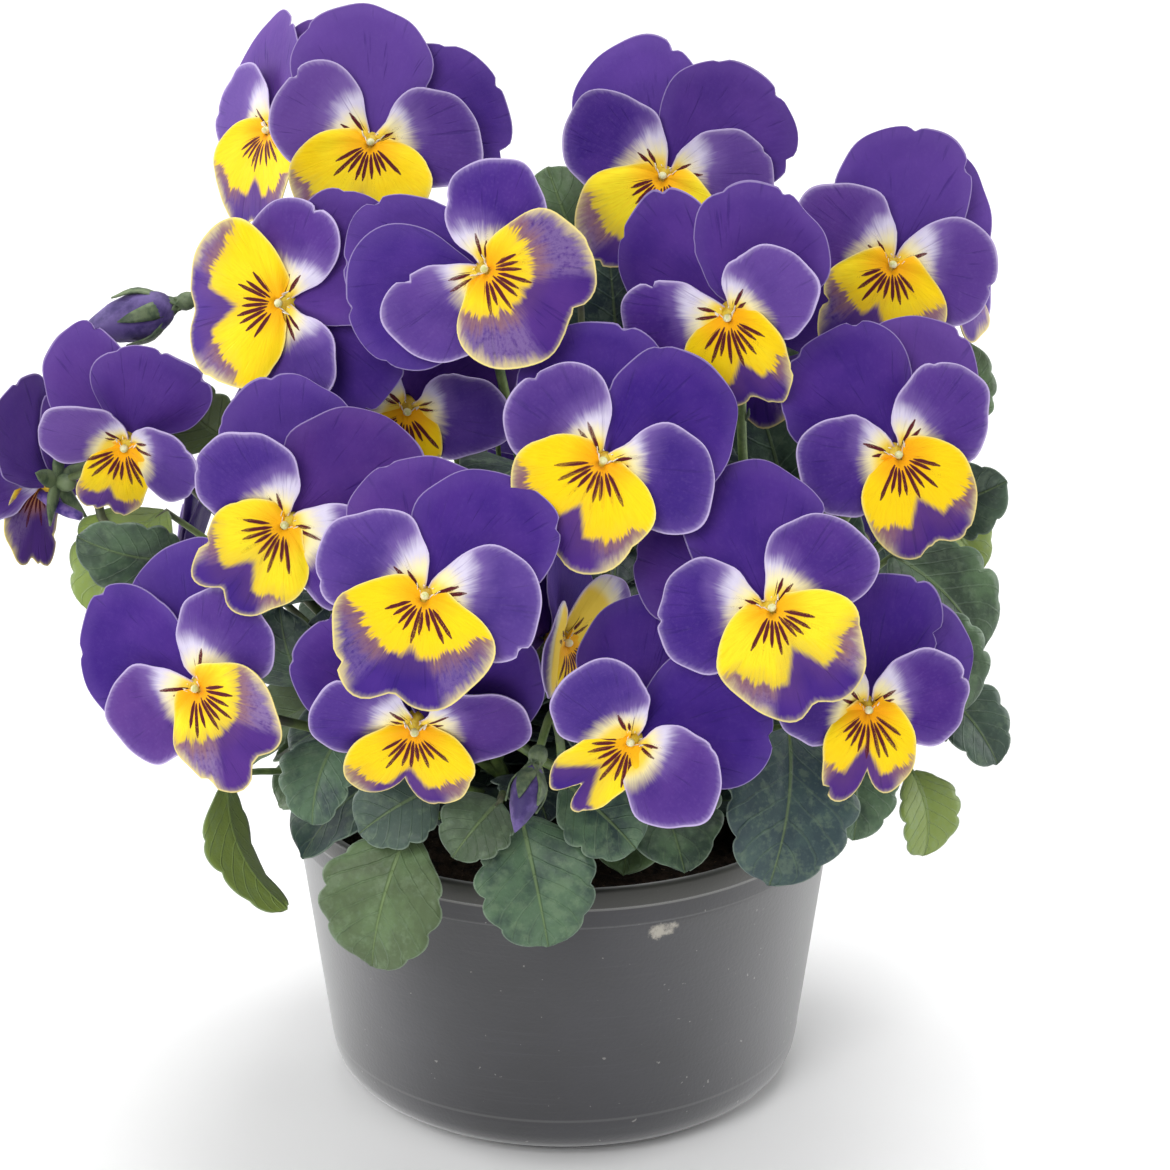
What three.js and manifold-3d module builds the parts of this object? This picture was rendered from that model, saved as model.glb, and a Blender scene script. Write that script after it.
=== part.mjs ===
// A potted horned violet: a nursery pot, its soil, leafy stems, blooms and buds.
// Millimetres, +Z up. The origin is the centre of the pot's underside, and the front faces -Y.
import * as THREE from "three";
import { mergeVertices } from "three/addons/utils/BufferGeometryUtils.js";
import Module from "manifold-3d";

// Pot
const RIM_RADIUS = 55;
const POT_HEIGHT = 63;
const COLLAR_DROP = 8;
const COLLAR_STEP = 0.9;
const LOWER_WALL_RADIUS = 47.6;
const LOWER_WALL_Z = 9;
const FOOT_RADIUS = 41;
const FOOT_HEIGHT = 2.2;
const CORNER = 3;
const CORNER_TUCK = 0.9;
const WALL = 1.6;
const FLOOR = 3.4;
const WALL_INSET = 0.5;
const LIP_BAND = 3.8;
const LIP_WIDTH = 1.9;
const SOFT_EDGE = 0.6;
const POT_SIDES = 30;
const DRAIN_COUNT = 6;
const DRAIN_RADIUS = 3.4;
const DRAIN_RING = 33;
const DRAIN_SIDES = 5;

// Soil
const SOIL_BELOW_RIM = 7;
const SOIL_CROWN = 3;
const SOIL_SIDES = 14;
const SOIL_PLAY = 0.45;
const SOIL_CORNER = 4;
const SOIL_SHOULDER = 2;
const SOIL_BUMP = 1.1;
const SOIL_RINGS = [44, 28, 12];
const HOLE_DEPTH = 12;
const HOLE_PLAY = 1.3;
const HOLE_SIDES = 4;

// Clearance between neighbouring pieces, and the extra girth used when looking for crossings
const GAP = 0.3;
const GUARD = 0.22;
const TINY_VOLUME = 1e-4;

// Stems: rings of them, each leaning out from the middle of the pot
const STEM_RINGS = [
  { count: 9, turn: -110, root: 19, reach: 47, top: 106 },
  { count: 3, turn: -90, root: 6, reach: 15, top: 130 },
];
const STEM_RADIUS = 1.9;
const STEM_SIDES = 5;
const STEM_STEPS = 4;
const STEM_TURN_SPREAD = 7;
const STEM_TOP_SPREAD = 7;
const STEM_SWAY = 3;
const STEM_NECK = 4;
const STEM_KNEE = 0.45;
const STEM_KNEE_HEIGHT = 0.42;

// Flower stalks
const STALK_RADIUS = 1;
const STALK_SIDES = 3;
const STALK_STEPS = 5;
const STALK_LONG = 70;
const HOOK_BACK = 9;
const HOOK_RISE = 3;
const HOOK_DROP = 9;
const HOOK_TOP = 0.62;
const CROOK_LIFT = 0.7;
const STALK_FIRST = 0.62;
const STALK_SPACING = 0.09;
const STALK_LEVELS = 4;
const ANCHOR_BACK = 14;
const ANCHOR_DROP = 24;
const STEMS_TRIED = 3;
// Bends that a stalk may take, in the order tried: sideways, inwards, and how far its crook stands back
const STALK_BENDS = [
  [0, 0, 0], [5, 0, 0], [-5, 0, 0], [0, 7, 0], [10, 0, 0], [-10, 0, 0], [5, 8, 0], [-5, 8, 0],
  [0, -7, 0], [15, 0, 0], [-15, 0, 0], [0, 6, 8], [7, 6, 8], [-7, 6, 8], [0, 10, 14], [9, 10, 14],
  [-9, 10, 14], [20, 4, 6], [-20, 4, 6], [26, 0, 0], [-26, 0, 0], [0, 14, 20],
];

// Receptacle and sepals behind each bloom
const CUP_FRONT = 3.6;
const CUP_LENGTH = 4.4;
const CUP_RADIUS = 2.3;
const CUP_HEART = 0.45;
const CUP_EDGE = 0.4;
const SEPALS = 5;
const SEPAL_LENGTH = 9.5;
const SEPAL_SWEEP = 2.4;
const BUD_BASE = -2.3;
const BUD_NECK = 1.3;
const BUD_SIDES = 6;

// Petals: sizes of a bloom of size 1, in the order that they lie in, back to front
const PETAL_THICKNESS = 0.75;
const CLAW_HALF = 1.1;
const CORE_RADIUS = 2.4;
const CORE_FRONT = 1.7;
const CORE_BACK = 3.25;
const UPPER = {
  length: 26, half: 12.8, widest: 0.56, tilt: -5, curl: -0.1, cup: 0.05, notch: 0, sweep: 0.06,
  claw: 0.12, rows: [0.36, 0.68, 0.92], rib: [0.5],
};
const LATERAL = {
  length: 20, half: 9.4, widest: 0.58, tilt: 2, curl: -0.06, cup: 0.04, notch: 0, sweep: 0.1,
  claw: 0.16, rows: [0.46, 0.84], rib: [],
};
const LOWER = {
  length: 19.8, half: 12.6, widest: 0.5, tilt: 12, curl: -0.2, cup: 0.1, notch: 0.09, sweep: 0.34,
  claw: 0.13, rows: [0.26, 0.6, 0.93], rib: [0.5],
};
const UPPER_ANGLE = 29;
const LATERAL_ANGLE = 75;
const UPPER_SPREAD = 5;
const OTHER_SPREAD = 3;
const LAYER = 1.2;
const LAYERS = [-2.3, -1.2, 0, 0, 1];
const FLANK_POWER = 0.8;
const NOTCH_WIDTH = 0.28;
const FOLD_NARROWS = 55;
const FOLD_STRAIGHTENS = 30;
const SPUR_RADIUS = 1.25;
const SPUR_PATH = [[0, -2.4, 0.4], [0, -6.4, -9]];
const PUSH_STEP = 1;
const PUSH_MOST = 16;

// Leaves
const LEAF_THICKNESS = 0.7;
const LEAF_HALF = 0.44;
const LEAF_WIDEST = 0.42;
const LEAF_BASE = 0.12;
const LEAF_ARCH = 0.16;
const LEAF_FOLD = 0.16;
const CRENATION = 0.13;
const LEAF_EDGE = [0.1, 0.27, 0.46, 0.63, 0.84];
const LEAF_RIB = [0.4];
const PETIOLE_HALF = 0.9;
const PETIOLE_BOW = 0.08;
const PETIOLE_NECK = -0.86;
const LEAVES_PER_STEM = 3;
const LEAF_FIRST = 0.28;
const LEAF_SPACING = 0.14;
const LEAF_HEADING = 137.5;
const LEAF_LENGTH = 21;
const LEAF_LENGTH_MORE = 7;
const LEAF_DROP = 4;
const LEAF_DROP_MORE = 12;
const PETIOLE_REACH = 12;
const PETIOLE_RISE = 5;
const PLACED_TURNS = 5;
const FIRST_LEAF_ITEM = 100;
const LEAF_TURNS = [0, 14, -14, 28, -28, 44, -44, 62, -62, 84, -84];
const LEAF_SLIDES = [0, 3, -3, 6, -6, 9, -9, 12];
const LEAF_STARTS = [0.45, 0.3, 0.6, 0.75];

// Blooms as the front shows them and as the back repeats them. at is the throat, az the way it faces
// (0 to the front, + to the front's right), el its upward tilt, roll its turn clockwise and fold how
// far the side petals close forward. uppers are the turns of the back and the front one of the upper
// pair from the bloom's own up, and lip is how wide the lower petal is.
const BLOOMS = [
  { at: [-57, 25, 189], az: -52, el: 15, roll: -8, size: 1 },
  { at: [-36, -5, 195], az: -5, el: 18, roll: 11, size: 1.04, uppers: [50, -23] },
  { at: [-14, -50, 184], az: 0, el: 24, roll: -62, size: 1.02, uppers: [-20, -46], lip: 1.12 },
  { at: [19, 0, 187], az: -5, el: 15, roll: 17, size: 1.06, uppers: [-36, 37] },
  { at: [62, -12, 173], az: 5, el: 18, roll: 22, size: 1.04, uppers: [12, -10], lip: 0.92 },
  { at: [77, 16, 166], az: 66, el: 12, roll: 52, size: 0.92 },
  { at: [-52, -38, 174], az: -30, el: 15, roll: 80, size: 1, uppers: [37, -37], lip: 1.2 },
  { at: [30, -46, 174], az: -15, el: -6, roll: -22, size: 0.98, fold: 14, uppers: [-35, 44] },
  { at: [-82, -28, 143], az: -14, el: -20, roll: 20, size: 0.88, fold: 24, uppers: [-50, 8] },
  { at: [-100, -12, 130], az: -122, el: -8, roll: -10, size: 0.9, fold: 16 },
  { at: [-50, -62, 140], az: -14, el: 4, roll: 40, size: 1.02, fold: 12, uppers: [-46, 11] },
  { at: [7, -68, 154], az: 2, el: 24, roll: 30, size: 1.04, uppers: [-36, 32] },
  { at: [-29, -31, 150], az: 8, el: -8, roll: 16, size: 0.96, fold: 20 },
  { at: [61, -48, 148], az: 14, el: 14, roll: -22, size: 1.02, fold: 10, uppers: [47, -11] },
  { at: [-67, -62, 108], az: -18, el: 8, roll: -50, size: 1.02, uppers: [36, -22], lip: 0.88 },
  { at: [-24, -84, 134], az: -3, el: 27, roll: 19, size: 1.05, uppers: [-26, 23], lip: 1.08 },
  { at: [37, -76, 129], az: 5, el: 24, roll: -23, size: 1.05, uppers: [-27, 17] },
  { at: [-27, -74, 105], az: 0, el: -24, roll: 8, size: 1.02, fold: 6, uppers: [-53, 43] },
  { at: [12, -80, 105], az: -8, el: 8, roll: 46, size: 1.02, fold: 30, uppers: [-37, 26] },
  { at: [55, -70, 107], az: 14, el: 3, roll: 5, size: 0.96, fold: 14, uppers: [64, 10] },
  { at: [-1, -62, 117], az: 62, el: 0, roll: 0, size: 0.9, fold: 20 },
  { at: [37, 4, 152], az: 170, el: 4, roll: -10, size: 0.96 },
  { at: [-60, 42, 122], az: -128, el: 6, roll: 12, size: 1 },
  { at: [-36, 64, 120], az: -160, el: 12, roll: -20, size: 1.03 },
  { at: [2, 74, 106], az: 178, el: 6, roll: 8, size: 1 },
  { at: [40, 62, 124], az: 150, el: 14, roll: 24, size: 1.04 },
  { at: [62, 40, 112], az: 118, el: 8, roll: -14, size: 0.98 },
  { at: [-14, 48, 146], az: -172, el: 26, roll: 30, size: 1.02 },
  { at: [-78, 14, 102], az: -100, el: 6, roll: 18, size: 0.98 },
  { at: [26, 44, 156], az: 166, el: 20, roll: -24, size: 1 },
];

// Buds: the same placing, with the length of the closed corolla
const BUDS = [
  { at: [-76, -10, 164], az: -84, el: -16, roll: 0, length: 17, radius: 4.6 },
  { at: [-6, -74, 95], az: -20, el: -40, roll: 0, length: 11, radius: 3 },
];

// Leaves that show at the edges, by hand: blade from its base to its tip, and the way its upper face looks
const PLACED_LEAVES = [
  { from: [-29, -60, 78], to: [-36, -66, 53], az: -16, el: 24, wide: 1.05 },
  { from: [-24, -58, 86], to: [-38, -63, 79], az: -10, el: 34, wide: 1.2 },
  { from: [-42, -48, 92], to: [-47, -57, 78], az: -30, el: 24, wide: 1.1 },
  { from: [-12, -60, 84], to: [-23, -66, 78], az: 0, el: 40, wide: 1.2 },
  { from: [-8, -60, 81], to: [-3, -68, 58], az: 4, el: 24, wide: 1.05 },
  { from: [0, -58, 87], to: [10, -64, 73], az: 6, el: 34, wide: 1.1 },
  { from: [42, -50, 94], to: [38, -65, 69], az: 24, el: 34, wide: 1.05 },
  { from: [54, -46, 88], to: [52, -59, 75], az: 34, el: 30, wide: 1.1 },
  { from: [66, -42, 82], to: [62, -50, 68], az: 40, el: 20, wide: 1.1 },
  { from: [-64, -38, 80], to: [-53, -46, 55], az: -112, el: 10, wide: 0.75 },
  { from: [-76, -18, 126], to: [-93, -26, 110], az: -40, el: 36, wide: 1.05 },
  { from: [-72, -32, 122], to: [-88, -40, 133], az: -40, el: 10, wide: 0.9 },
  { from: [-64, -14, 139], to: [-76, -14, 151], az: -30, el: 20, wide: 1.1 },
  { from: [71, 0, 136], to: [78, 0, 154], az: 30, el: 4, wide: 1.05 },
  { from: [70, -20, 127], to: [84, -24, 134], az: 30, el: 20, wide: 1.1 },
  { from: [70, -8, 122], to: [81, -12, 111], az: 40, el: 20, wide: 1.1 },
  { from: [62, -32, 122], to: [79, -38, 105], az: 30, el: 40, wide: 1.05 },
  { from: [70, -28, 94], to: [86, -34, 83], az: 20, el: 50, wide: 0.9 },
  { from: [3, 8, 170], to: [-3, 10, 186], az: 0, el: 10, wide: 1.05 },
  { from: [62, -44, 116], to: [73, -46, 97], az: 30, el: 14, wide: 1 },
  { from: [-40, 56, 82], to: [-48, 66, 60], az: -148, el: 26, wide: 1.05 },
  { from: [6, 62, 84], to: [10, 70, 61], az: 176, el: 24, wide: 1.1 },
  { from: [44, 52, 84], to: [54, 60, 62], az: 140, el: 28, wide: 1.05 },
  { from: [64, 12, 86], to: [76, 16, 66], az: 100, el: 30, wide: 1.05 },
  { from: [-64, 18, 84], to: [-76, 22, 66], az: -106, el: 30, wide: 1.05 },
];

const COLOURS = {
  pot: { color: 0x55565e, roughness: 0.5, metalness: 0 },
  soil: { color: 0x3a2a20, roughness: 1, metalness: 0 },
  leaf: { color: 0x54724a, roughness: 0.6, metalness: 0 },
  petal: { color: 0x4a2a8c, roughness: 0.7, metalness: 0 },
};

const wasm = await Module();
wasm.setup();

const UP = new THREE.Vector3(0, 0, 1);
const vec = (x, y, z) => new THREE.Vector3(x, y, z);
const rad = THREE.MathUtils.degToRad;

// A seeded draw from 0 to 1 for one item and one of its traits
const MODULUS = 2147483647;
function draw(item, trait) {
  let state = ((item + 1) * 7919 + (trait + 1) * 104729) % MODULUS;
  for (let i = 0; i < 3; i++) state = (state * 16807) % MODULUS;
  return state / MODULUS;
}
const spread = (item, trait, most) => (draw(item, trait) * 2 - 1) * most;

// The closed solid of a geometry
function solid(geometry) {
  const plain = geometry.index ? geometry.toNonIndexed() : geometry;
  const bare = new THREE.BufferGeometry().setAttribute("position", plain.getAttribute("position"));
  const merged = mergeVertices(bare, 1e-4);
  return new wasm.Manifold(
    new wasm.Mesh({
      numProp: 3,
      vertProperties: new Float32Array(merged.attributes.position.array),
      triVerts: new Uint32Array(merged.index.array),
    }),
  );
}

// A named mesh of a solid
function named(name, made, look) {
  const mesh = made.getMesh();
  const geometry = new THREE.BufferGeometry()
    .setAttribute("position", new THREE.BufferAttribute(mesh.vertProperties.slice(), 3))
    .setIndex(new THREE.BufferAttribute(mesh.triVerts.slice(), 1));
  geometry.computeVertexNormals();
  const result = new THREE.Mesh(geometry, new THREE.MeshStandardMaterial(look));
  result.name = name;
  return result;
}

const boxOf = (made) => {
  const { min, max } = made.boundingBox();
  return new THREE.Box3(vec(...min), vec(...max));
};
const entry = (made, owner) => ({ made, owner, box: boxOf(made) });

// Whether a solid crosses any of the placed ones, leaving out those of one owner
function crosses(made, placed, owner) {
  const box = boxOf(made);
  return placed.some(
    (other) =>
      other.owner !== owner &&
      box.intersectsBox(other.box) &&
      made.intersect(other.made).volume() > TINY_VOLUME,
  );
}

// A tube with flat sides through some points
function tube(points, radius, sides, steps) {
  const section = new THREE.Shape(
    Array.from({ length: sides }, (_, i) => {
      const angle = (i / sides) * 2 * Math.PI;
      return new THREE.Vector2(Math.cos(angle) * radius, Math.sin(angle) * radius);
    }),
  );
  const extrudePath = new THREE.CatmullRomCurve3(points, false, "catmullrom", 0.5);
  return solid(new THREE.ExtrudeGeometry(section, { steps, extrudePath, bevelEnabled: false }));
}

// A blade of even thickness. edge is one half of its outline as [s, t] pairs from base to tip, rib the
// s values along its middle, and place(s, t) gives the point and the normal there. The rows well before
// the rib are bridged straight across. Both faces are split into the same triangles.
function blade(edge, rib, place, thickness) {
  const spots = [];
  const spot = (s, t) => spots.push([s, t]) - 1;
  const tip = spot(1, 0);
  const left = [...edge.map(([s, t]) => spot(s, -t)), tip];
  const right = [...edge.map(([s, t], i) => (t ? spot(s, t) : left[i])), tip];
  const middle = [...rib.map((s) => spot(s, 0)), tip];
  const neck = edge.findLastIndex(([s]) => s <= (rib.length ? rib[0] / 2 : 1));
  const top = [];
  for (let i = 0; i < neck; i++) {
    if (left[i] !== right[i]) top.push([left[i], right[i], right[i + 1]]);
    top.push([left[i], right[i + 1], left[i + 1]]);
  }
  top.push([left[neck], right[neck], middle[0]]);
  const zip = (a, b) => {
    let [i, j] = [0, 0];
    while (i < a.length - 1 || j < b.length - 1) {
      const stepA = j === b.length - 1 || (i < a.length - 1 && spots[a[i + 1]][0] <= spots[b[j + 1]][0]);
      const third = stepA ? a[i + 1] : b[j + 1];
      if (a[i] !== tip && b[j] !== tip) top.push([a[i], b[j], third]);
      if (stepA) i++;
      else j++;
    }
  };
  zip(left.slice(neck), middle);
  zip(middle, right.slice(neck));
  const rim = [...left, ...right.slice(0, -1).reverse()].filter((a, i, all) => all.indexOf(a) === i);
  const count = spots.length;
  const index = top.flatMap(([a, b, c]) => [a, c, b, a + count, b + count, c + count]);
  rim.forEach((a, i) => {
    const b = rim[(i + 1) % rim.length];
    index.push(a, b + count, b, a, a + count, b + count);
  });
  const placed = spots.map(([s, t]) => place(s, t));
  const position = [-0.5, 0.5].flatMap((side) =>
    placed.flatMap(({ point, normal }) =>
      point.clone().addScaledVector(normal, side * thickness).toArray(),
    ),
  );
  const geometry = new THREE.BufferGeometry()
    .setAttribute("position", new THREE.BufferAttribute(new Float32Array(position), 3))
    .setIndex(index);
  return solid(geometry);
}

const WALL_TOP = RIM_RADIUS - COLLAR_STEP - WALL_INSET;

// Pot: one turned shell with a stepped collar, a tapered wall, a rounded lower corner and a flat foot
function pot() {
  const collarZ = POT_HEIGHT - COLLAR_DROP;
  const profile = [
    [0, 0],
    [FOOT_RADIUS, 0],
    [FOOT_RADIUS + SOFT_EDGE, FOOT_HEIGHT],
    [LOWER_WALL_RADIUS - CORNER, FOOT_HEIGHT + SOFT_EDGE],
    [LOWER_WALL_RADIUS - CORNER_TUCK, FOOT_HEIGHT + CORNER],
    [LOWER_WALL_RADIUS, LOWER_WALL_Z],
    [WALL_TOP, collarZ - SOFT_EDGE],
    [RIM_RADIUS - WALL_INSET, collarZ],
    [RIM_RADIUS, POT_HEIGHT - LIP_BAND],
    [RIM_RADIUS, POT_HEIGHT - SOFT_EDGE],
    [RIM_RADIUS - SOFT_EDGE, POT_HEIGHT],
    [RIM_RADIUS - LIP_WIDTH, POT_HEIGHT],
    [WALL_TOP - WALL, collarZ - 1],
    [LOWER_WALL_RADIUS - WALL, LOWER_WALL_Z],
    [LOWER_WALL_RADIUS - WALL - CORNER, FLOOR],
    [0, FLOOR],
  ];
  const turned = new THREE.LatheGeometry(profile.map(([r, z]) => new THREE.Vector2(r, z)), POT_SIDES);
  turned.rotateX(Math.PI / 2);
  let made = solid(turned);
  for (let i = 0; i < DRAIN_COUNT; i++) {
    const angle = ((i + 0.5) / DRAIN_COUNT) * 2 * Math.PI;
    const hole = new THREE.CylinderGeometry(DRAIN_RADIUS, DRAIN_RADIUS, 4 * FLOOR, DRAIN_SIDES);
    hole.rotateX(Math.PI / 2);
    hole.translate(DRAIN_RING * Math.cos(angle), DRAIN_RING * Math.sin(angle), FLOOR);
    made = made.subtract(solid(hole));
  }
  return made;
}

// The top of the soil at a place, with its crown and clods
const soilTop = POT_HEIGHT - SOIL_BELOW_RIM;
function soilHeight(x, y) {
  const r = Math.hypot(x, y) / RIM_RADIUS;
  const broad = Math.sin(0.31 * x + 1.3) * Math.cos(0.27 * y - 0.6);
  const clods = broad + 0.6 * Math.sin(0.52 * y + 0.4 * x);
  return soilTop + SOIL_CROWN * (1 - r * r) + SOIL_BUMP * clods * (1 - r);
}

// Stems: the root, the heading and the path of each
const stems = STEM_RINGS.flatMap((ring, ringIndex) =>
  Array.from({ length: ring.count }, (_, i) => {
    const item = ringIndex * 20 + i;
    const angle = rad(ring.turn + (360 / ring.count) * i + spread(item, 1, STEM_TURN_SPREAD));
    const out = vec(Math.cos(angle), Math.sin(angle), 0);
    const side = vec(-out.y, out.x, 0);
    const root = out.clone().multiplyScalar(ring.root);
    const tip = out.clone().multiplyScalar(ring.reach).setZ(ring.top + spread(item, 2, STEM_TOP_SPREAD));
    const knee = root.clone().lerp(tip, STEM_KNEE).addScaledVector(side, spread(item, 3, STEM_SWAY));
    knee.z = soilTop + STEM_KNEE_HEIGHT * (tip.z - soilTop);
    const ground = soilHeight(root.x, root.y);
    const foot = root.clone().setZ(ground - HOLE_DEPTH + GAP);
    const neck = root.clone().setZ(ground + STEM_NECK);
    return { root, out, points: [foot, neck, knee, tip] };
  }),
);
const stemPoint = (stem, u) =>
  new THREE.CatmullRomCurve3(stem.points, false, "catmullrom", 0.5).getPoint(u);

// The soil fills the pot, with a plain hole round the root of each stem
function soil() {
  const slope = (WALL_TOP - LOWER_WALL_RADIUS) / (POT_HEIGHT - COLLAR_DROP - 1 - LOWER_WALL_Z);
  const atHeight = (z) => LOWER_WALL_RADIUS - WALL - SOIL_PLAY + slope * (z - LOWER_WALL_Z);
  const profile = [
    [0, FLOOR + GAP],
    [LOWER_WALL_RADIUS - WALL - SOIL_CORNER, FLOOR + GAP],
    [atHeight(LOWER_WALL_Z) - GAP, LOWER_WALL_Z + GAP],
    [atHeight(soilTop - SOIL_SHOULDER), soilTop - SOIL_SHOULDER],
    ...SOIL_RINGS.map((r) => [r, soilTop]),
    [0, soilTop],
  ];
  const turned = new THREE.LatheGeometry(profile.map(([r, z]) => new THREE.Vector2(r, z)), SOIL_SIDES);
  turned.rotateX(Math.PI / 2);
  const position = turned.getAttribute("position");
  for (let i = 0; i < position.count; i++) {
    if (position.getZ(i) > soilTop - 0.5)
      position.setZ(i, soilHeight(position.getX(i), position.getY(i)));
  }
  let made = solid(turned);
  const wide = STEM_RADIUS + HOLE_PLAY;
  for (const { root } of stems) {
    const hole = new THREE.CylinderGeometry(wide, wide, 2 * HOLE_DEPTH, HOLE_SIDES);
    hole.rotateX(Math.PI / 2);
    hole.translate(root.x, root.y, soilHeight(root.x, root.y));
    made = made.subtract(solid(hole));
  }
  return made;
}

// The frame of a bloom: the way it faces, and its own up and right as seen from its front
function frameOf({ at, az, el, roll }) {
  const [a, e, r] = [rad(az), rad(el), rad(roll)];
  const face = vec(Math.sin(a) * Math.cos(e), -Math.cos(a) * Math.cos(e), Math.sin(e));
  const right0 = UP.clone().cross(face).normalize();
  const up0 = face.clone().cross(right0);
  const up = up0.clone().multiplyScalar(Math.cos(r)).addScaledVector(right0, Math.sin(r));
  const right = right0.clone().multiplyScalar(Math.cos(r)).addScaledVector(up0, -Math.sin(r));
  const matrix = new THREE.Matrix4().makeBasis(right, up, face).setPosition(...at);
  return { at: vec(...at), face, up, right, matrix };
}
const inFrame = (frame, x, y, z) =>
  frame.at.clone().addScaledVector(frame.right, x).addScaledVector(frame.up, y)
    .addScaledVector(frame.face, z);

// Half the width of a petal at s, from its claw at 0 to its tip at 1
function petalHalf(kind, s) {
  if (s <= kind.claw) return CLAW_HALF * (s / kind.claw);
  if (s > kind.widest) return kind.half * Math.sqrt(1 - ((s - kind.widest) / (1 - kind.widest)) ** 2);
  return kind.half * Math.sin((Math.PI / 2) * (s / kind.widest)) ** FLANK_POWER;
}

// One petal: its turn round the bloom's axis, its layer, and its size
function petal(frame, kind, turn, layer, size, girth) {
  const [c, sn] = [Math.cos(rad(turn)), Math.sin(rad(turn))];
  const out = frame.up.clone().multiplyScalar(c).addScaledVector(frame.right, sn);
  const across = frame.right.clone().multiplyScalar(c).addScaledVector(frame.up, -sn);
  const tilt = rad(kind.tilt);
  const along = out.clone().multiplyScalar(Math.cos(tilt)).addScaledVector(frame.face, Math.sin(tilt));
  const normal = frame.face.clone().multiplyScalar(Math.cos(tilt)).addScaledVector(out, -Math.sin(tilt));
  const base = inFrame(frame, 0, 0, layer);
  const grow = 1 + girth / kind.half;
  const place = (s, t) => {
    const b = t * petalHalf(kind, s) * size * grow;
    const dent = kind.notch * Math.exp(-((b / (NOTCH_WIDTH * kind.half)) ** 2)) * s ** 6;
    const back = kind.sweep * (1 - s) * (b / kind.half) ** 2;
    const a = kind.length * size * (s - dent - back) * grow;
    const q = a / kind.length;
    const w = b / kind.half;
    const h = kind.length * kind.curl * q * q + kind.half * kind.cup * w * w;
    const slopeA = 2 * kind.curl * q;
    const slopeB = 2 * kind.cup * w;
    return {
      point: base.clone().addScaledVector(along, a).addScaledVector(across, b).addScaledVector(normal, h),
      normal: normal.clone().addScaledVector(along, -slopeA).addScaledVector(across, -slopeB).normalize(),
    };
  };
  const edge = [[0, 0], ...[kind.claw, ...kind.rows].map((s) => [s, 1])];
  return blade(edge, kind.rib, place, PETAL_THICKNESS + 2 * girth);
}

// A corolla: two upper petals behind, two side petals, the lower petal in front, its core and spur
function corolla(bloom, girth) {
  const frame = frameOf(bloom);
  const { size, item, fold = 0, lip = 1 } = bloom;
  const turns = [-UPPER_ANGLE, UPPER_ANGLE, LATERAL_ANGLE, 180, 360 - LATERAL_ANGLE];
  const corners = turns.map((turn, i) => {
    const last = i ? turns[i - 1] : turns.at(-1) - 360;
    const [middle, halfway] = [rad((turn + last) / 2), rad((turn - last) / 2)];
    const reach = (CORE_RADIUS + girth) / Math.cos(halfway);
    return new THREE.Vector2(reach * Math.sin(middle), reach * Math.cos(middle));
  });
  const depth = CORE_FRONT + CORE_BACK + 2 * girth;
  const core = new THREE.ExtrudeGeometry(new THREE.Shape(corners), { depth, bevelEnabled: false });
  core.translate(0, 0, -CORE_BACK - girth);
  core.applyMatrix4(frame.matrix);
  let made = solid(core);
  const behind = draw(item, 4) < 0.5 ? -1 : 1;
  const [back, front] = bloom.uppers ?? [behind * UPPER_ANGLE, -behind * UPPER_ANGLE];
  const tilted = (kind, tilt) => ({ ...kind, tilt: kind.tilt + tilt });
  const narrow = {
    ...LOWER,
    half: LOWER.half * lip * (1 - fold / FOLD_NARROWS),
    sweep: LOWER.sweep * (1 - fold / FOLD_STRAIGHTENS),
  };
  const petals = [
    [tilted(UPPER, -3 - 2 * draw(item, 5)), back],
    [tilted(UPPER, 1 + draw(item, 6)), front],
    [tilted(LATERAL, fold - 2 * draw(item, 7)), LATERAL_ANGLE],
    [tilted(LATERAL, fold - 2 * draw(item, 8)), -LATERAL_ANGLE],
    [tilted(narrow, 4 * draw(item, 9)), 180],
  ];
  petals.forEach(([kind, angle], i) => {
    const most = i < 2 && !bloom.uppers ? UPPER_SPREAD : OTHER_SPREAD;
    const turn = angle + spread(item, 10 + i, most);
    made = made.add(petal(frame, kind, turn, LAYERS[i] * LAYER, size, girth));
  });
  const spur = SPUR_PATH.map((place) => inFrame(frame, ...place));
  return made.add(tube(spur, SPUR_RADIUS + girth, STALK_SIDES, 1));
}

// A closed bud: a twisted spindle
function budBody(bud, girth) {
  const frame = frameOf(bud);
  const { length, radius } = bud;
  const profile = [
    [0, BUD_BASE],
    [BUD_NECK + girth, BUD_BASE],
    [radius + girth, 0.3 * length],
    [0.72 * radius + girth, 0.66 * length],
    [0, length],
  ];
  const turned = new THREE.LatheGeometry(profile.map(([r, z]) => new THREE.Vector2(r, z)), BUD_SIDES);
  turned.rotateX(Math.PI / 2);
  turned.applyMatrix4(frame.matrix);
  return solid(turned);
}

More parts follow.
